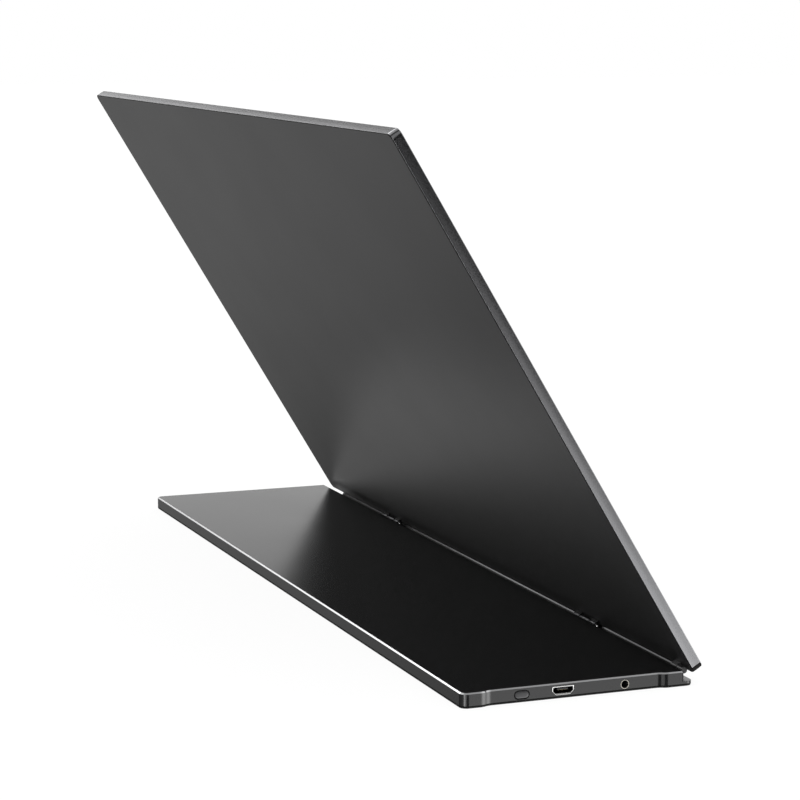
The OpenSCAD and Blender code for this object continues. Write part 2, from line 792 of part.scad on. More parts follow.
module optical_films() {
    color("#f2f3f3") in_panel()
        block(-cell_half_w, cell_half_w, cell_low, cell_top, films_w, cell_w);
}

module lcd_cell() {
    color("#14161a") in_panel()
        block(-cell_half_w, cell_half_w, cell_low, cell_top, cell_w, glass_w);
}

module glass_adhesive() {
    color("#0c0c0d") in_panel() difference() {
        plate(panel_points(rim_wall + fit_gap), glass_w - adhesive_t, glass_w);
        plate(panel_points(rim_wall + fit_gap + adhesive_w), glass_w - adhesive_t - cut, glass_w + cut);
    }
}

module cover_glass() {
    color("#0b0c0e") in_panel()
        plate(panel_points(rim_wall + fit_gap), glass_w, glass_w + glass_t);
}

connector_len = 6;                           // the cable's plug on each board

module timing_board() {
    x0 = -timing_len / 2;
    y0 = cable_rise_y + cable_r + 1.2;
    color("#1d4d33") in_panel() {
        block(x0, -x0, y0, chin_top - chin_gap, back_wall, back_wall + board_t);
        block(x0, x0 + connector_len, rim_wall + fit_gap, y0 + 1, back_wall, cable_panel_z + cable_r);
    }
}

module bottom_strip() {
    half = half_w - strip_end;
    color("#6b6d70") in_panel()
        block(-half, half, -strip_t, 0, -strip_drop, strip_front);
}

foot_housing();
base_plate();
rubber_sole();
base_screws();
main_board();
board_screws();
processor_shield();
power_switch();
usb_shell();
usb_tongue();
jack_body();
jack_ring();
hinge_foot_leaf_left();
hinge_foot_leaf_right();
foot_leaf_screws();
hinge_pin_left();
hinge_pin_right();
cable_guide();
cable_in_foot();
power_button();
back_cover();
middle_frame();
light_guide();
led_strip();
optical_films();
lcd_cell();
glass_adhesive();
cover_glass();
timing_board();
bottom_strip();
hinge_panel_leaf_left();
hinge_panel_leaf_right();
panel_leaf_screws();
cable_boot();
cable_in_panel();
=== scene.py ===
import json
import math

import bmesh
import bpy
from mathutils import Matrix, Vector


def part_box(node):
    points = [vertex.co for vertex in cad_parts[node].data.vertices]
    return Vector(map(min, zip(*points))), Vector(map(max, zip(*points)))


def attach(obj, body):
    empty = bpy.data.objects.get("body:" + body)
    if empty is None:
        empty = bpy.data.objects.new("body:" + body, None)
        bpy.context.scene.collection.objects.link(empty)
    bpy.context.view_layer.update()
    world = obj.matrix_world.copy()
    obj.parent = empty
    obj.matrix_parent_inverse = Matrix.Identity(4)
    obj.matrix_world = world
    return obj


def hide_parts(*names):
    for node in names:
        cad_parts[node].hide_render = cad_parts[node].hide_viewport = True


# A thin screen panel that leans back over a shallow flat foot. The solids give the places;
# this script gives each visible piece its fine edges, its finish and its small parts.

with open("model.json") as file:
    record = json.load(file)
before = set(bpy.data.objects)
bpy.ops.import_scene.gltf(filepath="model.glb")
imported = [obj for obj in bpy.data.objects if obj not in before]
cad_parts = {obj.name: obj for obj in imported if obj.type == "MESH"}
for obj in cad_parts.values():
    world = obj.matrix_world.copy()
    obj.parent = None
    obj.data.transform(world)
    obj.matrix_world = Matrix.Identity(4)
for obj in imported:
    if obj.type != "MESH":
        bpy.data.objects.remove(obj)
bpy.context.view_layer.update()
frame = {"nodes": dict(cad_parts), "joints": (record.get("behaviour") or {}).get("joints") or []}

MM = 0.001                     # sizes below are in millimetres, meshes are in metres

# ---- Sizes of the panel --------------------
TILT = math.radians(59)        # the panel's tilt above the foot
PANEL_T = 3.8
PANEL_LEN = 210.0              # from the bottom edge to the top edge
PANEL_CORNER_R = 2.5
BACK_BEVEL = 0.3
RIM_BEVEL = 0.2
BACK_WALL = 0.7
RIM_WALL = 1.0
SIDE_CROWN = 0.12              # the side walls swell by this much at mid thickness
CROWN_R = 21.0                 # radius of that swelling
GLASS_T, CELL_T, FILMS_T = 0.7, 0.85, 0.3
GLASS_SET_BACK = 0.05
FIT_GAP = 0.15
BORDER_SIDE = 6.4
BORDER_TOP = 5.0
BORDER_BOTTOM = 11.4

# ---- Sizes of the foot --------------------
FLANGE_REACH = 3.5
FLANGE_TOP = 1.6
FLANGE_R = 2.5
FLANGE_EDGE = 0.12             # radius of the flange's softened front edge
FRONT_R = 0.8
REAR_R = 2.6
FOOT_BEVEL = 0.45
SIDE_WALL = 1.2
TOP_WALL = 0.8
FLOOR_TOP = 1.0
# Painted shade: the black band low on the foot's walls stands for the dark line where the foot
# meets the floor.
SHADE_BAND_TOP = 0.8               # the foot's walls are black up to here
RECESS_DEPTH = 1.0
RECESS_FRONT = 5.6
RECESS_REAR = 6.3
BLEND_FRONT = 3.9
BLEND_REAR = 4.6
SOLE_GROOVE = ((4.4, 0), (4.2, 0), (4.0, 0.12), (3.4, 0.12), (3.2, 0))   # inset, height

# ---- Sockets and button --------------------
JACK_Y, JACK_Z = 21.2, 2.45
JACK_R, JACK_RING_R, JACK_MOUTH = 1.25, 1.6, 0.8
USB_Y, USB_Z = 43.4, 2.6
USB_RIM = (7.9, 3.1)
USB_OPEN = (6.9, 1.85)
USB_CUT = 0.42                 # share of its height that is cut off its lower corners
USB_SHEET = 0.3
USB_LEN = 5.6
USB_EAR = 1.0                  # reach of the ears that are soldered to the board
# Width and height over the opening's, and depth, from the inside out to the mouth
USB_MOUTH = ((0, 0, USB_LEN - USB_SHEET), (0, 0, 0.5), (0.12, 0.14, 0.3), (0.34, 0.38, 0.12),
             (0.55, 0.66, 0.02))
# Width and height less than the rim's, and depth, from the mouth back over the lip
USB_LIP = ((0.24, 0.36, 0), (0.08, 0.14, 0.06), (0.02, 0.04, 0.18), (0.02, 0.04, 0.4),
           (0.12, 0.2, 0.5))
TONGUE_HALF, TONGUE_T, TONGUE_START, TONGUE_DROP = 1.95, 0.6, 0.7, 0.25
TONGUE_ROOT_HALF, TONGUE_ROOT_T, TONGUE_ROOT_LEN = 2.4, 1.1, 1.2
CONTACTS, CONTACT_STEP, CONTACT_START = 5, 0.65, 2.6
CONTACT_BLOCK = (3.6, 0.34, 0.08)
BUTTON_Y, BUTTON_Z = 58.1, 2.5
BUTTON_FACE = (4.8, 2.3)
BUTTON_GAP = 0.3
BUTTON_PROUD = 0.25
BUTTON_DOME = ((0.5, 0), (0.3, 0.015), (0.16, 0.06), (0.06, 0.14), (0, 0.26))  # inset, depth
COLLAR_OVER = (2.0, 0.3)       # how much longer and higher the button's collar is
COLLAR_EDGE = ((0.05, 0), (0, 0.05), (0, 0.55), (0.05, 0.6))

# ---- Hinges, cable and screws --------------------
AXIS_INSET, AXIS_DROP = 1.29, 1.33
KNUCKLE_R, PIN_R = 1.05, 0.5
HINGE_X, HINGE_LEN = 97.75, 17.9
FOOT_KNUCKLE, KNUCKLE_GAP = 8.0, 0.3
PANEL_KNUCKLE = (HINGE_LEN - FOOT_KNUCKLE) / 2 - KNUCKLE_GAP
FOOT_LEAF_Z, FOOT_LEAF_T, FOOT_LEAF_REACH = 2.9, 0.8, 12.0
PANEL_LEAF_T, PANEL_LEAF_REACH = 0.6, 8.2
NECK_T = 0.9
NECK_END = AXIS_INSET + KNUCKLE_R
LEAF_CORNER_R = 0.8
GUIDE_SLOT = (3.15, 4.3)       # heights of the opening for the cable guide's neck
CABLE_HOLE_R = 0.45
SCREW_R, SCREW_HEAD_R, SCREW_HEAD_T = 0.7, 1.4, 0.3
LEAF_SCREW_DX, LEAF_SCREW_Y = 5.2, 7.5
PANEL_LEAF_SCREW_Y = (NECK_END + PANEL_LEAF_REACH) / 2
BOSS_R, BOSS_SINK = 2.2, 0.3
STRIP_T, STRIP_DROP, STRIP_END = 0.8, 0.9, 14.3
STRIP_CHAMFER = (-0.266, -0.285)   # where the strip's bright chamfer ends

# ---- Boards and lamps --------------------
BOARD_LEN, BOARD_DEPTH, BOARD_Y0 = 56.0, 61.0, 9.0
BOARD_Z, BOARD_T = 1.6, 0.6
BOARD_TOP = BOARD_Z + BOARD_T
BASE_SCREW_INSET, BASE_SCREW_END, BASE_SCREW_MID = 5.5, 9.0, 50.0
BOARD_SCREW_INSET, BOARD_SCREW_END = 3.5, 14.0
CHIP_X = (25, 48)              # the main board's free places, along it
CHIP_Y = ((4, 17), (46, 57))   # and across it
TIMING_CHIPS = (-62, 66, 5.0, 6.8)
LAMPS_DEPTH, LAMP_BOARD_T, LAMP_END = 1.6, 0.2, 4.2
LAMP_COUNT, LAMP_LEN, LAMP_WIDE = 42, 3.0, 0.8

# ---- Places, worked out from the frame --------------------
foot_low, foot_high = (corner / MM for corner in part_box("foot_housing"))
HALF_W = foot_high.x
FRONT_WALL = foot_low.y + FLANGE_REACH
REAR = foot_high.y - FRONT_WALL                # depth behind the front wall
FOOT_TOP = foot_high.z
SOLE_TOP = foot_low.z
RECESS_X = -HALF_W + RECESS_DEPTH
RECESS_WALL_X = RECESS_X + SIDE_WALL
CEILING = FOOT_TOP - TOP_WALL
BOARD_X0 = RECESS_WALL_X + 1.3
tilt_joint = next(j for j in frame["joints"] if j["name"] == "screen_tilt")
AXIS = Vector(tilt_joint["pos_m"]) / MM

# The foot's pieces are drawn with y from its front wall. The panel's are drawn lying flat:
# x across, y up from the bottom edge, z from the back's outer face towards the glass.
IN_FOOT = Matrix.Translation((0, FRONT_WALL, 0))
IN_PANEL = (
    Matrix.Translation(AXIS)
    @ Matrix.Rotation(TILT, 4, "X")
    @ Matrix.Translation((0, -AXIS_INSET, AXIS_DROP))
)
# Pieces along x: the drawing's x, y and z turn into y, z and x
ALONG_X = Matrix(((0, 0, 1, 0), (1, 0, 0, 0), (0, 1, 0, 0), (0, 0, 0, 1)))

CORNER_STEPS = 14              # chords in a quarter round of an outline
EDGE_STEPS = 3                 # chords in a softened edge
GUARD = 0.04                   # support ring beside a softened edge, so flat faces shade flat
CUT = 0.5                      # how far a cutter reaches past what it cuts

SIDES = (-1, 1)
base_screw_places = [
    (x, y)
    for x in (-HALF_W + BASE_SCREW_END, -BASE_SCREW_MID, BASE_SCREW_MID, HALF_W - BASE_SCREW_END)
    for y in (BASE_SCREW_INSET, REAR - BASE_SCREW_INSET)
]
board_screw_places = [
    (x, BOARD_Y0 + y)
    for x in (BOARD_X0 + BOARD_SCREW_END, BOARD_X0 + BOARD_LEN - BOARD_SCREW_INSET)
    for y in (BOARD_SCREW_INSET, BOARD_DEPTH - BOARD_SCREW_INSET)
]
leaf_screw_xs = [side * HINGE_X + end * LEAF_SCREW_DX for side in SIDES for end in SIDES]
foot_leaf_places = [(x, LEAF_SCREW_Y) for x in leaf_screw_xs]


# ---- Outlines and profiles --------------------

def arc(x, y, radius, start, end, steps=CORNER_STEPS):
    points = []
    for i in range(steps + 1):
        angle = math.radians(start + (end - start) * i / steps)
        points.append((x + radius * math.cos(angle), y + radius * math.sin(angle)))
    return points


def rounded_outline(x0, x1, y0, y1, radius, inset=0.0, steps=CORNER_STEPS):
    r = max(radius - inset, 0.03)
    left, right, front, back = x0 + inset + r, x1 - inset - r, y0 + inset + r, y1 - inset - r
    return (
        arc(right, front, r, -90, 0, steps)
        + arc(right, back, r, 0, 90, steps)
        + arc(left, back, r, 90, 180, steps)
        + arc(left, front, r, 180, 270, steps)
    )


def with_guards(points, reach=0.1, longest=2.0):
    """Adds a point close to each end of every long side, so that its face shades flat."""
    result = []
    for here, there in zip(points, points[1:] + points[:1]):
        result.append(here)
        length = math.dist(here, there)
        if length > longest:
            for along in (reach / length, 1 - reach / length):
                result.append(tuple(a + (b - a) * along for a, b in zip(here, there)))
    return result


def circle_outline(radius, steps=48):
    return [
        (radius * math.cos(math.tau * i / steps), radius * math.sin(math.tau * i / steps))
        for i in range(steps)
    ]


def panel_outline(inset=0.0):
    return with_guards(rounded_outline(-HALF_W, HALF_W, 0, PANEL_LEN, PANEL_CORNER_R, inset))


def recess_blends(inset):
    """The recess's two S blends, the rear one first. Each is two equal arcs that step over
    by the recess's depth."""
    (r1, a1), (r2, a2) = (
        ((run ** 2 + RECESS_DEPTH ** 2) / (4 * RECESS_DEPTH),
         math.degrees(2 * math.atan(RECESS_DEPTH / run)))
        for run in (BLEND_REAR, BLEND_FRONT)
    )
    rear_end, front_end = REAR - RECESS_REAR, RECESS_FRONT
    return (
        arc(-HALF_W + r1, rear_end, r1 - inset, 180, 180 + a1)
        + arc(RECESS_X - r1, rear_end - BLEND_REAR, r1 + inset, a1, 0)[1:]
        + arc(RECESS_X - r2, front_end + BLEND_FRONT, r2 + inset, 0, -a2)
        + arc(-HALF_W + r2, front_end, r2 - inset, 180 - a2, 180)[1:]
    )


def foot_outline(front, front_r, inset=0.0):
    """The foot seen from above, with the recess in its socket end. The points where the
    side walls meet the front corners are shared by the flange and the wall above it."""
    return with_guards(
        arc(HALF_W - front_r, front + front_r, front_r - inset, -90, 0)
        + [(HALF_W - inset, FRONT_R)]
        + arc(HALF_W - REAR_R, REAR - REAR_R, REAR_R - inset, 0, 90)
        + arc(-HALF_W + REAR_R, REAR - REAR_R, REAR_R - inset, 90, 180)
        + recess_blends(inset)
        + [(-HALF_W + inset, FRONT_R)]
        + arc(-HALF_W + front_r, front + front_r, front_r - inset, 180, 270)
    )


def sole_outline(inset):
    """The foot's lower outline drawn in, without corners tighter than the inset allows."""
    x0, x1, y0, y1 = -HALF_W + inset, HALF_W - inset, -FLANGE_REACH + inset, REAR - inset
    front, rear = max(FLANGE_R - inset, 0.3), max(REAR_R - inset, 0.3)
    return (
        arc(x1 - front, y0 + front, front, -90, 0)
        + arc(x1 - rear, y1 - rear, rear, 0, 90)
        + arc(x0 + rear, y1 - rear, rear, 90, 180)
        + recess_blends(inset)
        + arc(x0 + front, y0 + front, front, 180, 270)
    )


def pill_outline(length, height, inset=0.0):
    half, r = length / 2, height / 2
    return rounded_outline(-half, half, -r, r, r, inset, 10)


def rounded_corner(before, corner, after, radius, steps, guard=None):
    """The points of an arc in a corner's place, with a support point at both ends if the
    corner has a guard."""
    c = Vector(corner)
    back, ahead = ((Vector(end) - c).normalized() for end in (before, after))
    half = back.angle(ahead) / 2
    centre = c + (back + ahead).normalized() * radius / math.sin(half)
    cut = radius / math.tan(half)
    first, last = c + back * cut, c + ahead * cut
    start, end = (first - centre).normalized(), (last - centre).normalized()
    points = [centre + start.slerp(end, i / steps) * radius for i in range(steps + 1)]
    if guard:
        points = [first + back * guard, *points, last + ahead * guard]
    return [tuple(point) for point in points]


def soften(profile, radii, steps=EDGE_STEPS, guard=GUARD):
    """Rounds each inner corner of a profile of (inset, height) points."""
    points = [profile[0]]
    for before, corner, after, radius in zip(profile, profile[1:], profile[2:], radii):
        points += rounded_corner(before, corner, after, radius, steps, guard)
    return points + [profile[-1]]


def rounded_polygon(corners, radius, steps=4):
    """A closed outline with each corner rounded."""
    points = []
    for i, corner in enumerate(corners):
        after = corners[(i + 1) % len(corners)]
        points += rounded_corner(corners[i - 1], corner, after, radius, steps)
    return points


def lozenge(width, height, radius=0.25):
    """The data socket's outline: a flat box whose two lower corners are cut away."""
    w, h, cut = width / 2, height / 2, height * USB_CUT
    return rounded_polygon(
        [(w, -h + cut), (w, h), (-w, h), (-w, -h + cut), (-w + cut, -h), (w - cut, -h)], radius
    )


# ---- Meshes --------------------

def finish_mesh(bm, name, place, materials=(), rule=None, sharp=32):
    """Cleans the mesh, turns its faces outwards, gives each face its finish and puts the
    mesh in its place. rule(normal, centre) gives a face's finish before it is placed."""
    bmesh.ops.remove_doubles(bm, verts=bm.verts, dist=1e-4)
    bmesh.ops.dissolve_degenerate(bm, edges=bm.edges, dist=1e-4)
    bmesh.ops.recalc_face_normals(bm, faces=bm.faces)
    for face in bm.faces:
        face.smooth = True
        if rule:
            finish = rule(face.normal, face.calc_center_median())
            face.material_index = materials.index(finish)
    bm.transform(Matrix.Scale(MM, 4) @ place)
    mesh = bpy.data.meshes.new(name)
    bm.to_mesh(mesh)
    bm.free()
    for material in materials:
        mesh.materials.append(material)
    mesh.set_sharp_from_angle(angle=math.radians(sharp))
    piece = bpy.data.objects.new(name, mesh)
    bpy.context.scene.collection.objects.link(piece)
    return piece


def add_rings(bm, rings, caps=(True, True)):
    """A skin over a stack of rings with as many points each, closed at its ends."""
    layers = [[bm.verts.new(point) for point in ring] for ring in rings]
    count = len(rings[0])
    for lower, upper in zip(layers, layers[1:]):
        for i in range(count):
            j = (i + 1) % count
            bm.faces.new((lower[i], lower[j], upper[j], upper[i]))
    if caps[0]:
        bm.faces.new(layers[0][::-1])
    if caps[1]:
        bm.faces.new(layers[-1])


def ring_piece(name, rings, place, materials=(), rule=None, sharp=32):
    bm = bmesh.new()
    add_rings(bm, rings)
    return finish_mesh(bm, name, place, materials, rule, sharp)


def level_ring(outline, z, x=0, y=0):
    """An outline at one height, moved over by x and y."""
    return [(x + a, y + b, z) for a, b in outline]


def stacked(outline, profile, x=0, y=0):
    """Rings from an outline that takes an inset, at each (inset, height) of a profile."""
    return [level_ring(outline(inset), z, x, y) for inset, z in profile]


def box_corners(x0, x1, y0, y1, z0, z1, radius=0.1, edge=0.04):
    """Rings of a block with round upright edges and softened top and bottom edges."""
    profile = soften(
        [(edge * 3, z0), (0, z0), (0, z1), (edge * 3, z1)], [edge, edge], steps=2, guard=edge / 2
    )
    return stacked(lambda inset: rounded_outline(x0, x1, y0, y1, radius, inset, 4), profile)


def post_rings(x, y, z0, z1, radius):
    return [level_ring(circle_outline(radius, 24), z, x, y) for z in (z0, z1)]


def rectangle(x0, x1, y0, y1, z):
    return [(x0, y0, z), (x1, y0, z), (x1, y1, z), (x0, y1, z)]


def block_rings(x0, x1, y0, y1, z0, z1):
    return [rectangle(x0, x1, y0, y1, z) for z in (z0, z1)]


def spindle(profile, x, y, z, steps):
    """Rings round an axis along x, at each (radius, distance) of a profile."""
    return [
        [(x + along, y + r * a, z + r * b) for a, b in circle_outline(1, steps)]
        for r, along in profile
    ]


def bake_modifiers(piece):
    graph = bpy.context.evaluated_depsgraph_get()
    mesh = bpy.data.meshes.new_from_object(piece.evaluated_get(graph), depsgraph=graph)
    old = piece.data
    piece.modifiers.clear()
    piece.data = mesh
    mesh.name = piece.name
    bpy.data.meshes.remove(old)


def carve(piece, ring_stacks, place, operation="DIFFERENCE", sharp=32):
    """Cuts the shapes out of a piece, or joins them to it."""
    bm = bmesh.new()
    for rings in ring_stacks:
        add_rings(bm, rings)
    cutter = finish_mesh(bm, piece.name + "_cutter", place)
    modifier = piece.modifiers.new("carve", "BOOLEAN")
    modifier.operation = operation
    modifier.solver = "EXACT"
    modifier.object = cutter
    bake_modifiers(piece)
    piece.data.set_sharp_from_angle(angle=math.radians(sharp))
    mesh = cutter.data
    bpy.data.objects.remove(cutter)
    bpy.data.meshes.remove(mesh)


def settle(piece, body, node=None):
    """Lets a piece ride on its body, and hides the solid it stands for, if any."""
    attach(piece, body)
    if node:
        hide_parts(node)


# ---- Node trees --------------------

class Tree:
    """A node tree, with a short way to add and link its nodes."""

    def __init__(self, tree):
        self.tree = tree

    def set(self, node, socket, value):
        target = node.inputs[socket]
        if isinstance(value, bpy.types.NodeSocket):
            self.tree.links.new(value, target)
        else:
            target.default_value = value

    def add(self, kind, settings=None, **inputs):
        """A new node. In the names of its inputs an underscore stands for a space."""
        node = self.tree.nodes.new(kind)
        for key, value in (settings or {}).items():
            setattr(node, key, value)
        for key, value in inputs.items():
            self.set(node, key.replace("_", " "), value)
        return node

    def maths(self, operation, *values):
        node = self.add("ShaderNodeMath", {"operation": operation})
        for index, value in enumerate(values):
            self.set(node, index, value)
        return node.outputs[0]

    def mirrored(self, path):
        """1 for rays that see by gloss or through glass."""
        return self.maths(
            "ADD", path.outputs["Is Glossy Ray"], path.outputs["Is Transmission Ray"]
        )


class Growth(Tree):
    """A Geometry Nodes tree with a named input for each of its sizes."""

    KINDS = {int: "NodeSocketInt", float: "NodeSocketFloat", tuple: "NodeSocketVector"}

    def __init__(self, name, **sizes):
        super().__init__(bpy.data.node_groups.new(name, "GeometryNodeTree"))
        face = self.tree.interface
        face.new_socket("Geometry", in_out="INPUT", socket_type="NodeSocketGeometry")
        face.new_socket("Geometry", in_out="OUTPUT", socket_type="NodeSocketGeometry")
        self.identifiers = {}
        for label, value in sizes.items():
            socket = face.new_socket(label, in_out="INPUT", socket_type=self.KINDS[type(value)])
            socket.default_value = value
            self.identifiers[label] = socket.identifier
        self.given = self.tree.nodes.new("NodeGroupInput").outputs

    def vector(self, x, y, z):
        return self.add("ShaderNodeCombineXYZ", X=x, Y=y, Z=z).outputs[0]

    def moved(self, geometry, offset, turn=(0, 0, 0)):
        return self.add(
            "GeometryNodeTransform", Geometry=geometry, Translation=offset, Rotation=turn
        ).outputs[0]

    def cone(self, sides, depth, top, bottom):
        return self.add(
            "GeometryNodeMeshCone", {"fill_type": "NGON"}, Vertices=sides, Depth=depth,
            Radius_Top=top, Radius_Bottom=bottom,
        ).outputs["Mesh"]

    def boolean(self, operation, base, *others):
        node = self.add("GeometryNodeMeshBoolean", {"operation": operation, "solver": "EXACT"})
        if base:
            self.set(node, "Mesh 1", base)
        for other in others:
            self.tree.links.new(other, node.inputs["Mesh 2"])
        return node.outputs["Mesh"]

    def random(self, low, high, seed):
        node = self.add("FunctionNodeRandomValue", {"data_type": "FLOAT_VECTOR"}, Seed=seed)
        self.set(node, 0, low)
        self.set(node, 1, high)
        return node.outputs[0]

    def end(self, material, points, instance, **turns):
        """Puts an instance at each point, as one mesh of one finish."""
        rows = self.add(
            "GeometryNodeInstanceOnPoints", Points=points, Instance=instance, **turns
        ).outputs[0]
        real = self.add("GeometryNodeRealizeInstances", Geometry=rows).outputs[0]
        done = self.add("GeometryNodeSetMaterial", Geometry=real, Material=material).outputs[0]
        self.tree.links.new(done, self.tree.nodes.new("NodeGroupOutput").inputs[0])
        return self


def grow(name, growth, place, points=(), faces=(), **sizes):
    """Runs a tree on some points or faces in its drawing, and puts the mesh in its place."""
    mesh = bpy.data.meshes.new(name)
    mesh.from_pydata([tuple(point) for point in points], [], faces)
    piece = bpy.data.objects.new(name, mesh)
    bpy.context.scene.collection.objects.link(piece)
    modifier = piece.modifiers.new("growth", "NODES")
    modifier.node_group = growth.tree
    for label, value in sizes.items():
        modifier[growth.identifiers[label]] = value
    bake_modifiers(piece)
    piece.data.transform(Matrix.Scale(MM, 4) @ place)
    piece.data.shade_smooth()
    piece.data.set_sharp_from_angle(angle=math.radians(30))
    return piece


def screw_growth(material):
    """Flat-headed screws with a cross recess, each standing on its head at a point."""
    g = Growth("screws", **{
        "Head radius": SCREW_HEAD_R, "Head height": SCREW_HEAD_T, "Shank radius": SCREW_R,
        "Length": 2.0, "Edge": 0.1, "Slot width": 0.34, "Slot depth": 0.18, "Seed": 3,
    })
    size = g.given
    radius, edge = size["Head radius"], size["Edge"]
    rim = g.cone(40, edge, radius, g.maths("SUBTRACT", radius, edge))
    head = g.cone(40, g.maths("SUBTRACT", size["Head height"], edge), radius, radius)
    shank = g.cone(
        24, g.maths("SUBTRACT", size["Length"], edge),
        g.maths("MULTIPLY", size["Shank radius"], 0.94), size["Shank radius"],
    )
    lift = g.vector(0.0, 0.0, edge)
    body = g.boolean("UNION", None, rim, g.moved(head, lift), g.moved(shank, lift))
    slot_size = g.vector(
        g.maths("MULTIPLY", radius, 1.3), size["Slot width"],
        g.maths("MULTIPLY", size["Slot depth"], 2.0),
    )
    slot = g.add("GeometryNodeMeshCube", Size=slot_size).outputs["Mesh"]
    body = g.boolean("DIFFERENCE", body, slot, g.moved(slot, (0, 0, 0), (0, 0, math.pi / 2)))
    turns = g.random((0, 0, 0), (0, 0, math.pi / 2), size["Seed"])
    return g.end(material, size["Geometry"], body, Rotation=turns)


def row_growth(name, material):
    """A row of like blocks, such as lamps or contacts."""
    g = Growth(name, Count=5, First=(0.0, 0.0, 0.0), Step=(1.0, 0.0, 0.0), Block=(0.5, 0.5, 0.5))
    size = g.given
    line = g.add(
        "GeometryNodeMeshLine", {"mode": "OFFSET"}, Count=size["Count"],
        Start_Location=size["First"], Offset=size["Step"],
    ).outputs[0]
    block = g.add("GeometryNodeMeshCube", Size=size["Block"]).outputs["Mesh"]
    return g.end(material, line, block)


def chip_growth(material):
    """Chips scattered over the free faces of a board, no two closer than their spacing."""
    g = Growth(
        "chips", Spacing=3.4, Smallest=(0.7, 0.6, 0.35), Largest=(2.4, 2.0, 0.9), Seed=7
    )
    size = g.given
    places = g.add(
        "GeometryNodeDistributePointsOnFaces", {"distribute_method": "POISSON"},
        Mesh=size["Geometry"], Distance_Min=size["Spacing"], Density_Max=1.0, Seed=size["Seed"],
    ).outputs["Points"]
    cube = g.add("GeometryNodeMeshCube", Size=(1, 1, 1)).outputs["Mesh"]
    scale = g.random(size["Smallest"], size["Largest"], size["Seed"])
    return g.end(material, places, g.moved(cube, (0, 0, 0.5)), Scale=scale)


# ---- Finishes --------------------

class Finish(Tree):
    """A material built round one shader."""

    def __init__(self, name, colour, roughness, metallic=0.0, specular=0.5):
        self.material = bpy.data.materials.new(name)
        self.material.use_nodes = True
        super().__init__(self.material.node_tree)
        self.shader = self.tree.nodes["Principled BSDF"]
        self.set(self.shader, "Base Color", (*colour, 1.0))
        self.set(self.shader, "Roughness", roughness)
        self.set(self.shader, "Metallic", metallic)
        self.set(self.shader, "Specular IOR Level", specular)
        self.place = self.add("ShaderNodeTexCoord").outputs["Object"]

    def stretched(self, scale, turn):
        """The object's coordinates, turned about x and then stretched."""
        turned = self.add("ShaderNodeMapping", Vector=self.place, Rotation=(turn, 0, 0))
        return self.add("ShaderNodeMapping", Vector=turned.outputs[0], Scale=scale).outputs[0]

    def noise(self, scale, detail=2.0, vector=None):
        return self.add(
            "ShaderNodeTexNoise", Vector=vector or self.place, Scale=scale, Detail=detail
        ).outputs["Fac"]

    def between(self, factor, low, high):
        """A number that goes from low to high as factor goes from 0.3 to 0.7."""
        return self.add(
            "ShaderNodeMapRange", Value=factor, From_Min=0.3, From_Max=0.7, To_Min=low, To_Max=high
        ).outputs[0]

    def tint(self, factor, first, second):
        """A colour between two, by a factor that goes from 0 to 1."""
        node = self.add("ShaderNodeMix", {"data_type": "RGBA"})
        for index, value in ((0, factor), (6, (*first, 1.0)), (7, (*second, 1.0))):
            self.set(node, index, value)
        return node.outputs[2]

    def wear(self, colour, roughness, height, strength, distance):
        """Gives the shader its colour, its roughness and the relief of its surface."""
        bump = self.add("ShaderNodeBump", Height=height, Strength=strength, Distance=distance)
        self.set(self.shader, "Base Color", colour)
        self.set(self.shader, "Roughness", roughness)
        self.set(self.shader, "Normal", bump.outputs[0])
        return self.material


def blasted(name, colour, shade, roughness, grain=4200, strength=0.12, metallic=0.0,
            specular=0.5):
    """A fine bead-blasted skin with faint clouds in its tone and its gloss."""
    finish = Finish(name, colour, sum(roughness) / 2, metallic, specular)
    dark = [c * (1 - shade) for c in colour]
    return finish.wear(
        finish.tint(finish.between(finish.noise(9, 4), 0, 1), dark, colour),
        finish.between(finish.noise(23, 3), *roughness),
        finish.noise(grain, 2), strength, 0.00002,
    )


def brushed(name, colour, shade, roughness, strength, turn=0.0):
    """Metal with fine lines along x, as a polishing wheel leaves them."""
    finish = Finish(name, colour, sum(roughness) / 2, metallic=1.0)
    lines = finish.noise(1.0, 3, finish.stretched((26.0, 2600.0, 2600.0), turn))
    dark = [c * (1 - shade) for c in colour]
    return finish.wear(
        finish.tint(finish.between(lines, 0, 1), dark, colour),
        finish.between(lines, *roughness), lines, strength, 0.00001,
    )


def circuit_green():
    """Solder mask over copper tracks that run in small right-angled steps."""
    finish = Finish("circuit_mask", (0.012, 0.06, 0.03), 0.35)
    tracks = finish.add(
        "ShaderNodeTexBrick", {"offset": 0.5}, Vector=finish.place, Scale=900.0, Mortar_Size=0.03
    ).outputs["Fac"]
    return finish.wear(
        finish.tint(tracks, (0.010, 0.052, 0.027), (0.03, 0.13, 0.06)),
        finish.between(finish.noise(60), 0.3, 0.42), tracks, 0.3, 0.00002,
    )


def clear_acrylic():
    """The light guide's pale sheet, covered with small dots."""
    colour = (0.86, 0.90, 0.91)
    finish = Finish("clear_acrylic", colour, 0.12)
    dots = finish.add(
        "ShaderNodeTexVoronoi", Vector=finish.place, Scale=1400.0
    ).outputs["Distance"]
    return finish.wear((*colour, 1.0), finish.between(dots, 0.3, 0.08), dots, 0.2, 0.00002)


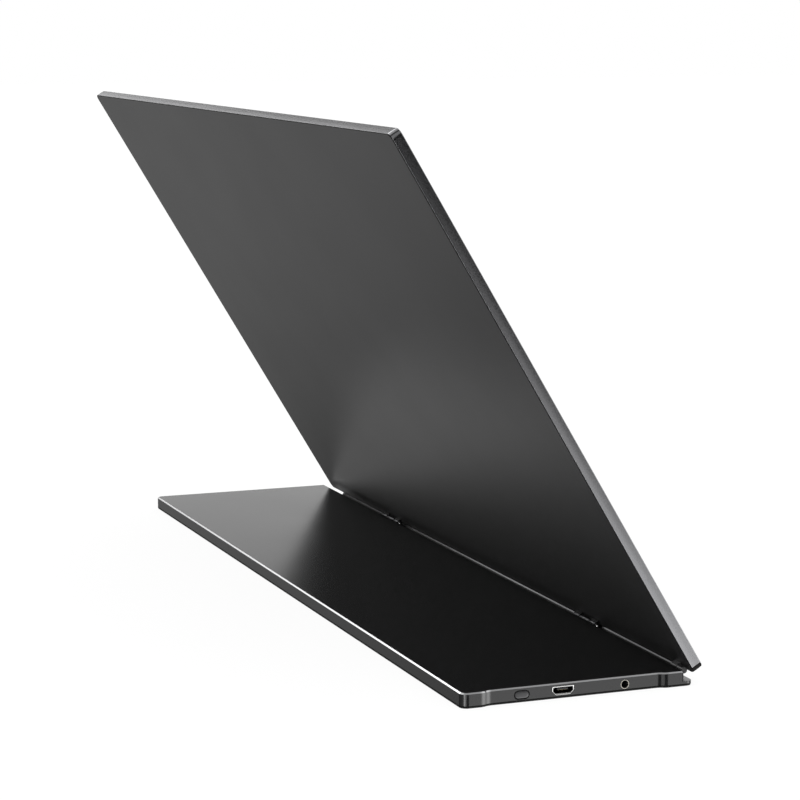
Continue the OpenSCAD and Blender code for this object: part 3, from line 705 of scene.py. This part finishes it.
def front_glass():
    """Black glass. The picture area shows only as a slightly lighter, bluer black."""
    finish = Finish("front_glass", (0.003, 0.003, 0.0035), 0.04, specular=0.6)
    turned = finish.add(
        "ShaderNodeMapping", {"vector_type": "TEXTURE"}, Vector=finish.place,
        Location=IN_PANEL.translation * MM, Rotation=(TILT, 0, 0),
    )
    split = finish.add("ShaderNodeSeparateXYZ", Vector=turned.outputs[0])

    def inside(axis, low, high):
        offset = finish.maths("SUBTRACT", split.outputs[axis], (low + high) / 2 * MM)
        return finish.maths(
            "LESS_THAN", finish.maths("ABSOLUTE", offset), (high - low) / 2 * MM
        )

    picture = finish.maths(
        "MULTIPLY", inside("X", BORDER_SIDE - HALF_W, HALF_W - BORDER_SIDE),
        inside("Y", BORDER_BOTTOM, PANEL_LEN - BORDER_TOP),
    )
    return finish.wear(
        finish.tint(picture, (0.0025, 0.0025, 0.003), (0.008, 0.009, 0.012)),
        finish.between(finish.noise(14, 4), 0.03, 0.06), finish.noise(6, 1), 0.02, 0.00005,
    )


PANEL_COAT = blasted(
    "panel_coat", (0.016, 0.016, 0.0165), 0.2, (0.29, 0.31), strength=0.04, specular=0.74
)
# The top's coat is a darker copy of the side walls' coat: painted shade for the shade of the
# leaning panel on the top.
FOOT_TOP_SHADED_COAT = blasted(
    "foot_coat", (0.0034, 0.0034, 0.0035), 0.2, (0.19, 0.21), strength=0.03, specular=0.8
)
FOOT_SIDE = blasted(
    "foot_side_coat", (0.009, 0.009, 0.0094), 0.2, (0.17, 0.19), strength=0.04, specular=0.8
)
PANEL_SIDE = brushed("panel_side_metal", (0.33, 0.33, 0.34), 0.06, (0.18, 0.22), 0.02, TILT)
BEVEL = brushed("polished_bevel", (0.63, 0.63, 0.64), 0.06, (0.13, 0.18), 0.02)
# Black lacquer, also used as painted shade on the foot's low edge and front wall and on the
# panel's bottom edge.
LACQUER_AND_SHADE = blasted(
    "black_lacquer", (0.005, 0.005, 0.005), 0.3, (0.34, 0.42), 3000, 0.05, specular=0.06
)
RUBBER = blasted("rubber", (0.016, 0.016, 0.016), 0.3, (0.68, 0.82), 1900, 0.5, specular=0.3)
BUTTON = blasted(
    "button_paint", (0.075, 0.075, 0.077), 0.15, (0.28, 0.36), 5200, 0.1, metallic=0.3
)
PLATING = brushed("socket_plating", (0.80, 0.80, 0.79), 0.15, (0.16, 0.26), 0.08)
# Painted shade: a dark copy of the plating for the inside of the data socket.
PLATING_PAINTED_SHADE = brushed("dark_plating", (0.06, 0.06, 0.062), 0.15, (0.35, 0.45), 0.08)
JACK_METAL = brushed("jack_plating", (0.48, 0.46, 0.41), 0.15, (0.18, 0.28), 0.08)
BLACK_PLASTIC = blasted("moulded_black", (0.016, 0.016, 0.017), 0.2, (0.4, 0.5), 3600, 0.2)
GOLD = brushed("contact_gold", (0.62, 0.48, 0.26), 0.2, (0.26, 0.36), 0.05)
PIN_STEEL = brushed("pin_steel", (0.64, 0.64, 0.65), 0.2, (0.16, 0.26), 0.1)
STRIP = brushed("strip_metal", (0.27, 0.27, 0.275), 0.2, (0.22, 0.30), 0.1, TILT)
KNUCKLE = brushed("knuckle_steel", (0.09, 0.09, 0.095), 0.25, (0.30, 0.38), 0.1)
OXIDE = blasted(
    "black_oxide", (0.007, 0.007, 0.007), 0.3, (0.45, 0.55), 2600, 0.1, specular=0.2
)
LAMP = blasted("lamp_white", (0.86, 0.80, 0.42), 0.1, (0.35, 0.5), 3000, 0.1)
GUIDE = blasted("guide_plastic", (0.034, 0.034, 0.035), 0.2, (0.26, 0.34), 3600, 0.1)
SCREW_STEEL = blasted(
    "screw_steel", (0.46, 0.46, 0.47), 0.3, (0.24, 0.36), 2600, 0.1, metallic=1.0
)
BLACK_STEEL = blasted(
    "black_steel", (0.025, 0.025, 0.026), 0.3, (0.45, 0.6), 2600, 0.2, metallic=0.2
)
BOARD = circuit_green()
ACRYLIC = clear_acrylic()
FILM = blasted("white_film", (0.88, 0.89, 0.89), 0.05, (0.36, 0.46), 5000, 0.1)
CELL = blasted("cell_glass", (0.010, 0.011, 0.014), 0.15, (0.10, 0.16), 5000, 0.02)
TAPE = blasted("adhesive_tape", (0.008, 0.008, 0.008), 0.3, (0.5, 0.7), 1500, 0.4)
JACKET = blasted("cable_jacket", (0.015, 0.015, 0.016), 0.2, (0.5, 0.62), 2400, 0.3)
GLASS = front_glass()


# ---- The foot --------------------

def foot_rings():
    """The flange with a softened front edge, then the wall, the polished bevel and the top."""
    rings = stacked(
        lambda inset: foot_outline(-FLANGE_REACH, FLANGE_R, inset),
        soften([(0.5, SOLE_TOP), (0, SOLE_TOP), (0, FLANGE_TOP)], [0.08])[:-1]
        + [(0, SHADE_BAND_TOP)],
    )
    for turn in (0, 30, 60, 90):
        angle = math.radians(turn)
        front = -FLANGE_REACH + FLANGE_EDGE * (1 - math.cos(angle))
        z = FLANGE_TOP - FLANGE_EDGE * (1 - math.sin(angle))
        rings.append(level_ring(foot_outline(front, FLANGE_R), z))
    for front, radius in (
        (-FLANGE_REACH + FLANGE_EDGE + GUARD, FLANGE_R), (-GUARD, FRONT_R), (0, FRONT_R)
    ):
        rings.append(level_ring(foot_outline(front, radius), FLANGE_TOP))
    wall = [
        (0, FLANGE_TOP + GUARD), (0, FOOT_TOP - FOOT_BEVEL), (FOOT_BEVEL, FOOT_TOP),
        (FOOT_BEVEL + 0.25, FOOT_TOP),
    ]
    return rings + stacked(
        lambda inset: foot_outline(0, FRONT_R, inset), soften(wall, [0.07, 0.07])
    )


def foot_finish(normal, centre):
    """Bright on the bevel, coated elsewhere. The black low down and on the front wall is painted
    shade, along the floor and under the leaning panel, and the top's coat is a darker copy of the
    walls' coat, painted shade from the panel.
    """
    if centre.z > FOOT_TOP - FOOT_BEVEL - 0.02 and 0.3 < normal.z < 0.92:
        return BEVEL
    # Painted shade: the low band and the front wall under the panel are lacquered black for the
    # shade there.
    front = centre.y < FRONT_R and FLANGE_TOP < centre.z < FOOT_TOP - FOOT_BEVEL
    if centre.z < SHADE_BAND_TOP or (front and normal.y < -0.1):
        return LACQUER_AND_SHADE
    # Painted shade: the top takes the darker copy of the walls' coat.
    return FOOT_TOP_SHADED_COAT if normal.z > 0.9 and centre.z > FOOT_TOP - 0.1 else FOOT_SIDE


def wall_openings():
    """Cutters through the recess wall. The button's has a small bevel at its mouth."""
    mouth = 0.1
    start, end = RECESS_X - CUT, RECESS_WALL_X + CUT
    gap = [size + 2 * BUTTON_GAP for size in BUTTON_FACE]
    depths = ((-mouth, start), (-mouth, RECESS_X), (0, RECESS_X + mouth), (0, end))
    rim, ring = lozenge(*USB_RIM), circle_outline(JACK_RING_R)
    return [
        stacked(lambda inset: pill_outline(*gap, inset), depths, BUTTON_Y, BUTTON_Z),
        [level_ring(rim, x, USB_Y, USB_Z) for x in (start, end)],
        [level_ring(ring, x, JACK_Y, JACK_Z) for x in (start, end)],
    ]


def leaf_openings():
    """Cutters through the front wall for the hinges' leaves and the cable guide's neck."""
    half = FOOT_KNUCKLE / 2 + FIT_GAP
    wall = (-CUT, SIDE_WALL + CUT)
    slots = [
        block_rings(
            side * HINGE_X - half, side * HINGE_X + half, *wall,
            FOOT_LEAF_Z - FIT_GAP, FOOT_LEAF_Z + FOOT_LEAF_T + FIT_GAP,
        )
        for side in SIDES
    ]
    low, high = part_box("cable_guide")
    return slots + [block_rings(low.x / MM, high.x / MM, *wall, *GUIDE_SLOT)]


def foot_shell():
    shell = ring_piece(
        "foot_shell", foot_rings(), IN_FOOT, (FOOT_TOP_SHADED_COAT, FOOT_SIDE, BEVEL, LACQUER_AND_SHADE), foot_finish
    )
    hollow = rounded_outline(
        RECESS_WALL_X, HALF_W - SIDE_WALL, SIDE_WALL, REAR - SIDE_WALL, REAR_R - SIDE_WALL
    )
    carve(shell, [[level_ring(hollow, z) for z in (SOLE_TOP - CUT, CEILING)]], IN_FOOT)
    bosses = [
        post_rings(x, y, bottom, CEILING + BOSS_SINK, BOSS_R)
        for places, bottom in (
            (base_screw_places, FLOOR_TOP), (board_screw_places, BOARD_TOP),
            (foot_leaf_places, FOOT_LEAF_Z + FOOT_LEAF_T),
        )
        for x, y in places
    ]
    carve(shell, bosses, IN_FOOT, "UNION")
    bores = [
        post_rings(x, y, FLOOR_TOP - CUT, CEILING + TOP_WALL / 2, SCREW_R)
        for x, y in base_screw_places + board_screw_places + foot_leaf_places
    ]
    carve(shell, bores + leaf_openings(), IN_FOOT)
    carve(shell, wall_openings(), IN_FOOT @ ALONG_X)
    settle(shell, "foot", "foot_housing")


def sole():
    """The rubber sheet, with softened edges and a shallow groove inside its rim."""
    low, high = (corner.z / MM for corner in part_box("rubber_sole"))
    groove = [(FIT_GAP + inset, low + height) for inset, height in SOLE_GROOVE]
    profile = soften(
        [*groove, (FIT_GAP, low), (FIT_GAP, high), (FIT_GAP + 0.4, high)],
        [0.03, 0.03, 0.03, 0.03, 0.08, 0.05], steps=2, guard=0.02,
    )
    piece = ring_piece("rubber_pad", stacked(sole_outline, profile), IN_FOOT, (RUBBER,))
    settle(piece, "foot", "rubber_sole")


def power_button():
    """A pill-shaped key with a softly domed face, and the collar that keeps it in."""
    collar = [size + over for size, over in zip(BUTTON_FACE, COLLAR_OVER)]
    face_x, collar_x = RECESS_X - BUTTON_PROUD, RECESS_WALL_X + 0.05
    rings = [
        level_ring(pill_outline(*size, inset), start + depth, BUTTON_Y, BUTTON_Z)
        for size, start, profile in (
            (BUTTON_FACE, face_x, BUTTON_DOME), (BUTTON_FACE, collar_x, [(0, 0)]),
            (collar, collar_x, COLLAR_EDGE),
        )
        for inset, depth in profile
    ]
    piece = ring_piece("power_key", rings, IN_FOOT @ ALONG_X, (BUTTON,), sharp=40)
    settle(piece, "button", "power_button")


def data_socket():
    """A folded sheet-metal shell whose mouth flares out into a rolled lip."""
    body = [size + 2 * USB_SHEET for size in USB_OPEN]
    sections = [(USB_OPEN[0] + w, USB_OPEN[1] + h, x) for w, h, x in USB_MOUTH]
    sections += [(USB_RIM[0] - w, USB_RIM[1] - h, x) for w, h, x in USB_LIP]
    sections += [(*body, x) for x in (0.56, USB_LEN)]
    bm = bmesh.new()
    add_rings(bm, [
        level_ring(lozenge(w, h, min(0.3, h * 0.14)), RECESS_X + x, USB_Y, USB_Z)
        for w, h, x in sections
    ])
    for side in SIDES:
        y = USB_Y + side * (body[0] / 2 + USB_EAR / 2 - 0.05)
        add_rings(bm, box_corners(
            y - USB_EAR / 2, y + USB_EAR / 2, BOARD_TOP, BOARD_TOP + USB_SHEET,
            RECESS_X + USB_LEN - 2.4, RECESS_X + USB_LEN - 0.8,
        ))

    def finish(normal, centre):
        """The plated inside is rougher than the polished lip, and much darker: painted shade in
        the socket's hollow.
        """
        narrow = abs(centre.x - USB_Y) <= USB_OPEN[0] / 2 + 0.1
        low = abs(centre.y - USB_Z) <= USB_OPEN[1] / 2 + 0.1
        return PLATING_PAINTED_SHADE if centre.z > RECESS_X + 0.3 and narrow and low else PLATING

    piece = finish_mesh(
        bm, "data_socket_shell", IN_FOOT @ ALONG_X, (PLATING, PLATING_PAINTED_SHADE), finish, sharp=40
    )
    settle(piece, "foot", "usb_shell")


def data_tongue():
    """The socket's black tongue on its root. Gives the height of its underside."""
    x0, x1 = RECESS_X + TONGUE_START, RECESS_X + USB_LEN - USB_SHEET
    ceiling = USB_Z + USB_OPEN[1] / 2
    top = ceiling - TONGUE_DROP
    bm = bmesh.new()
    add_rings(bm, box_corners(
        USB_Y - TONGUE_HALF, USB_Y + TONGUE_HALF, top - TONGUE_T, top, x0, x1, 0.12, 0.08
    ))
    add_rings(bm, box_corners(
        USB_Y - TONGUE_ROOT_HALF, USB_Y + TONGUE_ROOT_HALF, top - TONGUE_ROOT_T, ceiling,
        x1 - TONGUE_ROOT_LEN, x1,
    ))
    tongue = finish_mesh(bm, "data_socket_tongue", IN_FOOT @ ALONG_X, (BLACK_PLASTIC,))
    settle(tongue, "foot", "usb_tongue")
    return top - TONGUE_T


def jack_ring():
    """The jack's plated ring with a rounded lip."""
    middle = (JACK_R + JACK_RING_R) / 2
    profile = [
        (JACK_R, JACK_MOUTH), (JACK_R, 0.14), (JACK_R + 0.05, 0.05), (JACK_R + 0.12, 0),
        (middle + 0.02, 0), (JACK_RING_R - 0.06, 0.04), (JACK_RING_R, 0.12),
        (JACK_RING_R, JACK_MOUTH), (JACK_R, JACK_MOUTH),
    ]
    bm = bmesh.new()
    add_rings(bm, spindle(profile, RECESS_X, JACK_Y, JACK_Z, 56), (False, False))
    ring = finish_mesh(bm, "jack_mouth_ring", IN_FOOT, (JACK_METAL,), sharp=40)
    settle(ring, "foot", "jack_ring")


# ---- The panel --------------------

def panel_rings():
    """From the middle of the back, over the bevels and the rim, into the tray."""
    side_low, side_high = BACK_BEVEL, PANEL_T - RIM_BEVEL
    profile = [
        (BACK_BEVEL + 0.4, 0), (BACK_BEVEL, 0), (SIDE_CROWN, side_low),
        (0, (side_low + side_high) / 2), (SIDE_CROWN, side_high), (RIM_BEVEL, PANEL_T),
        (RIM_WALL, PANEL_T), (RIM_WALL, BACK_WALL), (RIM_WALL + 0.3, BACK_WALL),
    ]
    radii = [0.12, 0.06, CROWN_R, 0.06, 0.06, 0.06, 0.06]
    return stacked(panel_outline, soften(profile, radii, guard=0.02))


def panel_finish(normal, centre):
    """Black on the back's bevel, bright on the rim's bevel, machined metal on the other side
    walls, and coated elsewhere. The black on the bottom edge and its corners is painted shade."""
    if centre.z < BACK_BEVEL - 0.03 and normal.z > -0.93:
        return LACQUER_AND_SHADE
    if centre.z < 0.02:
        return PANEL_COAT
    if centre.z > PANEL_T - RIM_BEVEL - 0.02 and normal.z > 0.2 and normal.y > -0.25:
        return BEVEL
    # Painted shade: the bottom edge and its rounded corners are lacquered black for the shade
    # there.
    if normal.y < -0.03 and centre.y < PANEL_CORNER_R:
        return LACQUER_AND_SHADE
    edge = min(HALF_W - abs(centre.x), centre.y, PANEL_LEN - centre.y)
    return PANEL_SIDE if edge < 0.6 and abs(normal.z) < 0.6 else PANEL_COAT


def panel_shell():
    shell = ring_piece(
        "panel_shell", panel_rings(), IN_PANEL, (PANEL_COAT, PANEL_SIDE, LACQUER_AND_SHADE, BEVEL),
        panel_finish,
    )
    half = PANEL_KNUCKLE / 2 + FIT_GAP
    through = (-CUT, BACK_WALL + CUT)
    cutters = []
    for side in SIDES:
        for end in SIDES:
            x = side * HINGE_X + end * (HINGE_LEN - PANEL_KNUCKLE) / 2
            cutters.append(block_rings(
                x - half, x + half, NECK_END - NECK_T - FIT_GAP, NECK_END + FIT_GAP, *through
            ))
    boot_low, boot_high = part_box("cable_boot")
    boot_x = (boot_low.x + boot_high.x) / 2 / MM
    cutters.append(post_rings(boot_x, AXIS_INSET + 0.2, *through, CABLE_HOLE_R))
    carve(shell, cutters, IN_PANEL)
    settle(shell, "panel", "back_cover")


def glass_sheet():
    low = PANEL_T - GLASS_SET_BACK - GLASS_T
    inset, edge = RIM_WALL + FIT_GAP, 0.12
    profile = [
        (inset + 0.3, low), (inset, low), (inset, low + GLASS_T - edge),
        (inset + edge, low + GLASS_T), (inset + 0.6, low + GLASS_T),
    ]
    rings = stacked(panel_outline, soften(profile, [0.03, 0.05, 0.05], guard=0.02))
    settle(ring_piece("glass_sheet", rings, IN_PANEL, (GLASS,)),
           "panel", "cover_glass")


def strip():
    """The strip along the panel's bottom edge. Its polished chamfer is the bright line
    between foot and panel; below it the strip is dark."""
    half = HALF_W - STRIP_END
    front = PANEL_T - RIM_BEVEL - STRIP_T / 2
    section = rounded_polygon(
        [
            (-STRIP_T, front), (0, front), (0, 0.2), STRIP_CHAMFER, (-0.55, -STRIP_DROP),
            (-STRIP_T, -STRIP_DROP),
        ],
        0.05, 3,
    )
    middle = sum((Vector(point) for point in section), Vector((0, 0))) / len(section)
    rings = [
        [(*(middle + (Vector(point) - middle) * shrink), x) for point in section]
        for x, shrink in ((-half, 0.92), (-half + 0.08, 1), (half - 0.08, 1), (half, 0.92))
    ]

    def finish(normal, centre):
        bright = normal.x > 0.6 and normal.y < -0.3 and centre.x > STRIP_CHAMFER[0] - 0.04
        return STRIP if bright else OXIDE

    piece = ring_piece("hinge_strip", rings, IN_PANEL @ ALONG_X, (STRIP, OXIDE), finish, 40)
    settle(piece, "panel", "bottom_strip")


# ---- The hinges --------------------

def knuckle_rings(x, length, y, z, edge=0.1):
    """A tube along x, with softened outer edges and an open bore for the pin."""
    bore = PIN_R + 0.02
    end = [(bore, 0), (KNUCKLE_R - edge, 0), (KNUCKLE_R - edge * 0.3, edge * 0.3),
           (KNUCKLE_R, edge)]
    profile = end + [(r, length - along) for r, along in reversed(end)] + end[:1]
    return spindle(profile, x, y, z, 40)


def leaf_piece(name, body, place, axis, knuckles, blocks):
    """A hinge leaf: its plate and necks are black, its knuckles are dark steel."""
    bm = bmesh.new()
    for x, length in knuckles:
        add_rings(bm, knuckle_rings(x, length, *axis), (False, False))
    for block in blocks:
        add_rings(bm, box_corners(*block))

    def finish(normal, centre):
        reach = math.hypot(centre.y - axis[0], centre.z - axis[1])
        return KNUCKLE if reach < KNUCKLE_R + 0.005 and abs(normal.x) < 0.9 else OXIDE

    piece = finish_mesh(bm, name, place, (KNUCKLE, OXIDE), finish)
    settle(piece, body, "hinge_" + name)


def hinge(side, end_name):
    middle, half = side * HINGE_X, FOOT_KNUCKLE / 2
    x0, x1 = middle - HINGE_LEN / 2, middle + HINGE_LEN / 2
    axis = (AXIS.y - FRONT_WALL, AXIS.z)
    plate_y = SIDE_WALL + FIT_GAP
    heights = (FOOT_LEAF_Z, FOOT_LEAF_Z + FOOT_LEAF_T)
    leaf_piece(
        "foot_leaf_" + end_name, "foot", IN_FOOT, axis, [(middle - half, FOOT_KNUCKLE)],
        [
            (middle - half, middle + half, axis[0] + 0.2, plate_y + 0.2, *heights),
            (x0, x1, plate_y, FOOT_LEAF_REACH, *heights, LEAF_CORNER_R),
        ],
    )
    starts = (x0, x1 - PANEL_KNUCKLE)
    neck, top = NECK_END - NECK_T, BACK_WALL + PANEL_LEAF_T
    leaf_piece(
        "panel_leaf_" + end_name, "panel", IN_PANEL, (AXIS_INSET, -AXIS_DROP),
        [(x, PANEL_KNUCKLE) for x in starts],
        [(x, x + PANEL_KNUCKLE, neck, NECK_END, -AXIS_DROP + 0.45, top) for x in starts]
        + [(x0, x1, neck, PANEL_LEAF_REACH, BACK_WALL, top, LEAF_CORNER_R)],
    )
    end = [(0.05, 0), (PIN_R - 0.1, 0), (PIN_R - 0.02, 0.04), (PIN_R, 0.12)]
    profile = end + [(r, HINGE_LEN - along) for r, along in reversed(end)]
    pin = ring_piece("pin_" + end_name, spindle(profile, x0, *axis, 32), IN_FOOT, (PIN_STEEL,))
    settle(pin, "foot", "hinge_pin_" + end_name)


# ---- Screws, lamps, contacts and chips --------------------

def screws():
    growth = screw_growth(SCREW_STEEL)
    over_leaf = BACK_WALL + PANEL_LEAF_T + SCREW_HEAD_T
    panel_leaf_places = [(x, -PANEL_LEAF_SCREW_Y) for x in leaf_screw_xs]

    def up(height):
        return Matrix.Translation((0, 0, height))

    for name, body, places, length, place in (
        ("base_screw", "foot", base_screw_places, 3.2, IN_FOOT @ up(SOLE_TOP)),
        ("board_screw", "foot", board_screw_places, 2.2, IN_FOOT @ up(BOARD_Z - SCREW_HEAD_T)),
        ("foot_leaf_screw", "foot", foot_leaf_places, 2.0,
         IN_FOOT @ up(FOOT_LEAF_Z - SCREW_HEAD_T)),
        ("panel_leaf_screw", "panel", panel_leaf_places, over_leaf - 0.3,
         IN_PANEL @ up(over_leaf) @ Matrix.Rotation(math.pi, 4, "X")),
    ):
        points = [(x, y, 0) for x, y in places]
        piece = grow(name + "_set", growth, place, points, Length=length)
        settle(piece, body, name + "s")


def lamp_row():
    """The lamps on their flexible board, along the light guide's lower edge."""
    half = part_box("led_strip")[1].x / MM
    v0, v1 = BORDER_BOTTOM - LAMPS_DEPTH, BORDER_BOTTOM - FIT_GAP
    low, high = BACK_WALL, PANEL_T - GLASS_SET_BACK - GLASS_T - CELL_T - FILMS_T
    board = ring_piece(
        "lamp_board", box_corners(-half, half, v0, v1, low, low + LAMP_BOARD_T, 0.15, 0.03),
        IN_PANEL, (BOARD,),
    )
    settle(board, "panel", "led_strip")
    height = high - low - LAMP_BOARD_T - 0.05
    lamps = grow(
        "lamp_row", row_growth("lamps", LAMP), IN_PANEL, Count=LAMP_COUNT,
        First=(LAMP_END - half, v1 - 0.45, low + LAMP_BOARD_T + height / 2),
        Step=(2 * (half - LAMP_END) / (LAMP_COUNT - 1), 0.0, 0.0),
        Block=(LAMP_LEN, LAMP_WIDE, height),
    )
    settle(lamps, "panel")


def socket_contacts(under_tongue):
    """The row of contacts, half sunk in the tongue's underside."""
    first_y = USB_Y - CONTACT_STEP * (CONTACTS - 1) / 2
    contacts = grow(
        "data_socket_contacts", row_growth("contacts", GOLD), IN_FOOT, Count=CONTACTS,
        First=(RECESS_X + CONTACT_START, first_y, under_tongue - 0.02),
        Step=(0.0, CONTACT_STEP, 0.0), Block=CONTACT_BLOCK,
    )
    settle(contacts, "foot")


def board_parts():
    """Small chips on the free places of the main board and of the timing board."""
    growth = chip_growth(BLACK_PLASTIC)
    corners = []
    for y0, y1 in CHIP_Y:
        corners += rectangle(
            BOARD_X0 + CHIP_X[0], BOARD_X0 + CHIP_X[1], BOARD_Y0 + y0, BOARD_Y0 + y1, BOARD_TOP
        )
    chips = grow("main_board_chips", growth, IN_FOOT, corners, [(0, 1, 2, 3), (4, 5, 6, 7)])
    settle(chips, "foot")
    chips = grow(
        "timing_board_chips", growth, IN_PANEL, rectangle(*TIMING_CHIPS, BACK_WALL + BOARD_T),
        [(0, 1, 2, 3)], Spacing=5.0, Seed=11, Smallest=(0.8, 0.6, 0.35), Largest=(3.8, 1.6, 0.7),
    )
    settle(chips, "panel")


def shield():
    """A folded steel can with soft corners over the processor."""
    low, high = (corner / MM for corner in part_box("processor_shield"))
    rings = box_corners(
        low.x, high.x, low.y - FRONT_WALL, high.y - FRONT_WALL, low.z, high.z, 0.9, 0.18
    )
    piece = ring_piece("shield_can", rings, IN_FOOT, (PLATING,))
    settle(piece, "foot", "processor_shield")


# ---- Pieces that keep their solids' shape --------------------

NODE_FINISHES = {
    "base_plate": BLACK_STEEL, "main_board": BOARD, "power_switch": PLATING,
    "jack_body": BLACK_PLASTIC, "cable_guide": GUIDE, "cable_in_foot": JACKET,
    "middle_frame": BLACK_PLASTIC, "light_guide": ACRYLIC, "optical_films": FILM,
    "lcd_cell": CELL, "glass_adhesive": TAPE, "timing_board": BOARD,
    "cable_boot": GUIDE, "cable_in_panel": JACKET,
}


def dress_solids():
    for name, finish in NODE_FINISHES.items():
        for slot in frame["nodes"][name].material_slots:
            slot.material = finish


# ---- Stage, light and camera --------------------

# What gloss and glass see before the white: azimuth from +x towards +y, elevation, half
# width of the full and of the faded area, and brightness. A card darkens what is there.
LAMPS = (
    ("far_edge_box", 15, 22, 8.7, 18.0, 1.52),
    ("high_back_box", 11, 39, 9.9, 19.3, 2.14),
    ("far_floor", 7, -14, 9.8, 16.0, 2.69),
    ("left_box", 137, -14, 6.6, 12.4, 2.99),
    ("right_box", -124, -28, 14.3, 27.0, 2.63),
    ("near_floor", 174, -43, 28.2, 42.2, 0.73),
    ("wedge_box", -9, 0, 6.0, 12.3, 1.13),
    ("gap_box", 39, -16, 14.1, 19.1, 1.31),
)
CARDS = (
    ("camera_side_card", -157, 13, 19.0, 28.1, 1.00),
    ("low_card", 180, -9, 15.8, 20.8, 0.99),
    ("top_edge_card", -12, 22, 6.1, 14.6, 0.71),
    ("rear_card", 21, -21, 28.6, 48.8, 0.91),
    ("blend_card", 151, -12, 4.3, 9.4, 0.75),
    ("left_card", 73, -6, 27.7, 51.4, 0.82),
    ("right_card", -85, -12, 18.1, 40.1, 0.50),
    ("front_card", -20, -41, 16.8, 32.9, 0.84),
    ("over_card", -13, 57, 13.3, 30.4, 0.51),
    ("back_card", 173, 58, 26.8, 49.6, 0.60),
)
SKY_LEVEL = 0.9                # all other light: plain, from every side
FLOOR_HALF, FLOOR_Z = 6.0, -0.0001     # metres
FLOOR_GREY, FLOOR_GLOW = 0.16, 0.90
CAMERA_PLACE = (-0.91853, 0.33793, 0.22388)
CAMERA_AZIMUTH, CAMERA_ELEVATION = math.radians(248.892), math.radians(8.783)
CAMERA_LENS, CAMERA_SENSOR = 116.24, 36.0


def studio_world():
    """White to the camera. Gloss and glass see that white too, with soft boxes and dark
    cards before it."""
    world = bpy.data.worlds.new("studio")
    bpy.context.scene.world = world
    world.use_nodes = True
    sky = Tree(world.node_tree)
    place = sky.add("ShaderNodeTexCoord").outputs["Generated"]

    def lobe(azimuth, elevation, full, faded, level):
        a, e = math.radians(azimuth), math.radians(elevation)
        dot = sky.add("ShaderNodeVectorMath", {"operation": "DOT_PRODUCT"})
        sky.set(dot, 0, place)
        sky.set(dot, 1, (math.cos(a) * math.cos(e), math.sin(a) * math.cos(e), math.sin(e)))
        return sky.add(
            "ShaderNodeMapRange", {"interpolation_type": "SMOOTHSTEP"},
            Value=dot.outputs["Value"], From_Min=math.cos(math.radians(faded)),
            From_Max=math.cos(math.radians(full)), To_Max=level,
        ).outputs["Result"]

    total = 1.0
    for _, *lamp in LAMPS:
        total = sky.maths("ADD", total, lobe(*lamp))
    for _, *card in CARDS:
        total = sky.maths("MULTIPLY", total, sky.maths("SUBTRACT", 1.0, lobe(*card)))
    path = sky.add("ShaderNodeLightPath")
    mirrored = sky.mirrored(path)
    change = sky.maths("MULTIPLY", mirrored, sky.maths("SUBTRACT", total, 1.0))
    level = sky.add("ShaderNodeMix")
    sky.set(level, 0, sky.maths("ADD", path.outputs["Is Camera Ray"], mirrored))
    sky.set(level, 2, SKY_LEVEL)
    sky.set(level, 3, sky.maths("ADD", 1.0, change))
    background = sky.tree.nodes["Background"]
    sky.set(background, "Color", (1, 1, 1, 1))
    sky.set(background, "Strength", level.outputs[0])


def floor():
    """A pale floor that shows the object's shadow faintly. Reflections look through it."""
    material = bpy.data.materials.new("floor_white")
    material.use_nodes = True
    cloth = Tree(material.node_tree)
    nodes = cloth.tree.nodes
    nodes.remove(nodes["Principled BSDF"])
    matt = cloth.add("ShaderNodeBsdfDiffuse", Color=(FLOOR_GREY, FLOOR_GREY, FLOOR_GREY, 1))
    glow = cloth.add("ShaderNodeEmission", Strength=FLOOR_GLOW)
    both = cloth.add("ShaderNodeAddShader")
    pick = cloth.add("ShaderNodeMixShader", Fac=cloth.mirrored(cloth.add("ShaderNodeLightPath")))
    clear = cloth.add("ShaderNodeBsdfTransparent")
    for node, index, shader in ((both, 0, matt), (both, 1, glow), (pick, 1, both),
                                (pick, 2, clear), (nodes["Material Output"], 0, pick)):
        cloth.set(node, index, shader.outputs[0])
    mesh = bpy.data.meshes.new("floor")
    corners = rectangle(-FLOOR_HALF, FLOOR_HALF, -FLOOR_HALF, FLOOR_HALF, FLOOR_Z)
    mesh.from_pydata(corners, [], [(0, 1, 2, 3)])
    mesh.materials.append(material)
    piece = bpy.data.objects.new("floor", mesh)
    bpy.context.scene.collection.objects.link(piece)


def camera():
    """At the photograph's place: behind the object, on its socket side, a little above."""
    data = bpy.data.cameras.new("camera")
    data.sensor_width, data.lens = CAMERA_SENSOR, CAMERA_LENS
    data.clip_start, data.clip_end = 0.05, 20.0
    view = bpy.data.objects.new("camera", data)
    bpy.context.scene.collection.objects.link(view)
    a, e = CAMERA_AZIMUTH, CAMERA_ELEVATION
    back = Vector((math.sin(a) * math.cos(e), -math.cos(a) * math.cos(e), math.sin(e)))
    view.location = CAMERA_PLACE
    view.rotation_mode = "QUATERNION"
    view.rotation_quaternion = (-back).to_track_quat("-Z", "Y")
    bpy.context.scene.camera = view


def picture_settings():
    bpy.context.scene.view_settings.view_transform = "Standard"


camera()
foot_shell()
sole()
power_button()
data_socket()
socket_contacts(data_tongue())
jack_ring()
shield()
board_parts()
panel_shell()
glass_sheet()
strip()
lamp_row()
hinge(-1, "left")
hinge(1, "right")
screws()
dress_solids()
studio_world()
floor()
picture_settings()
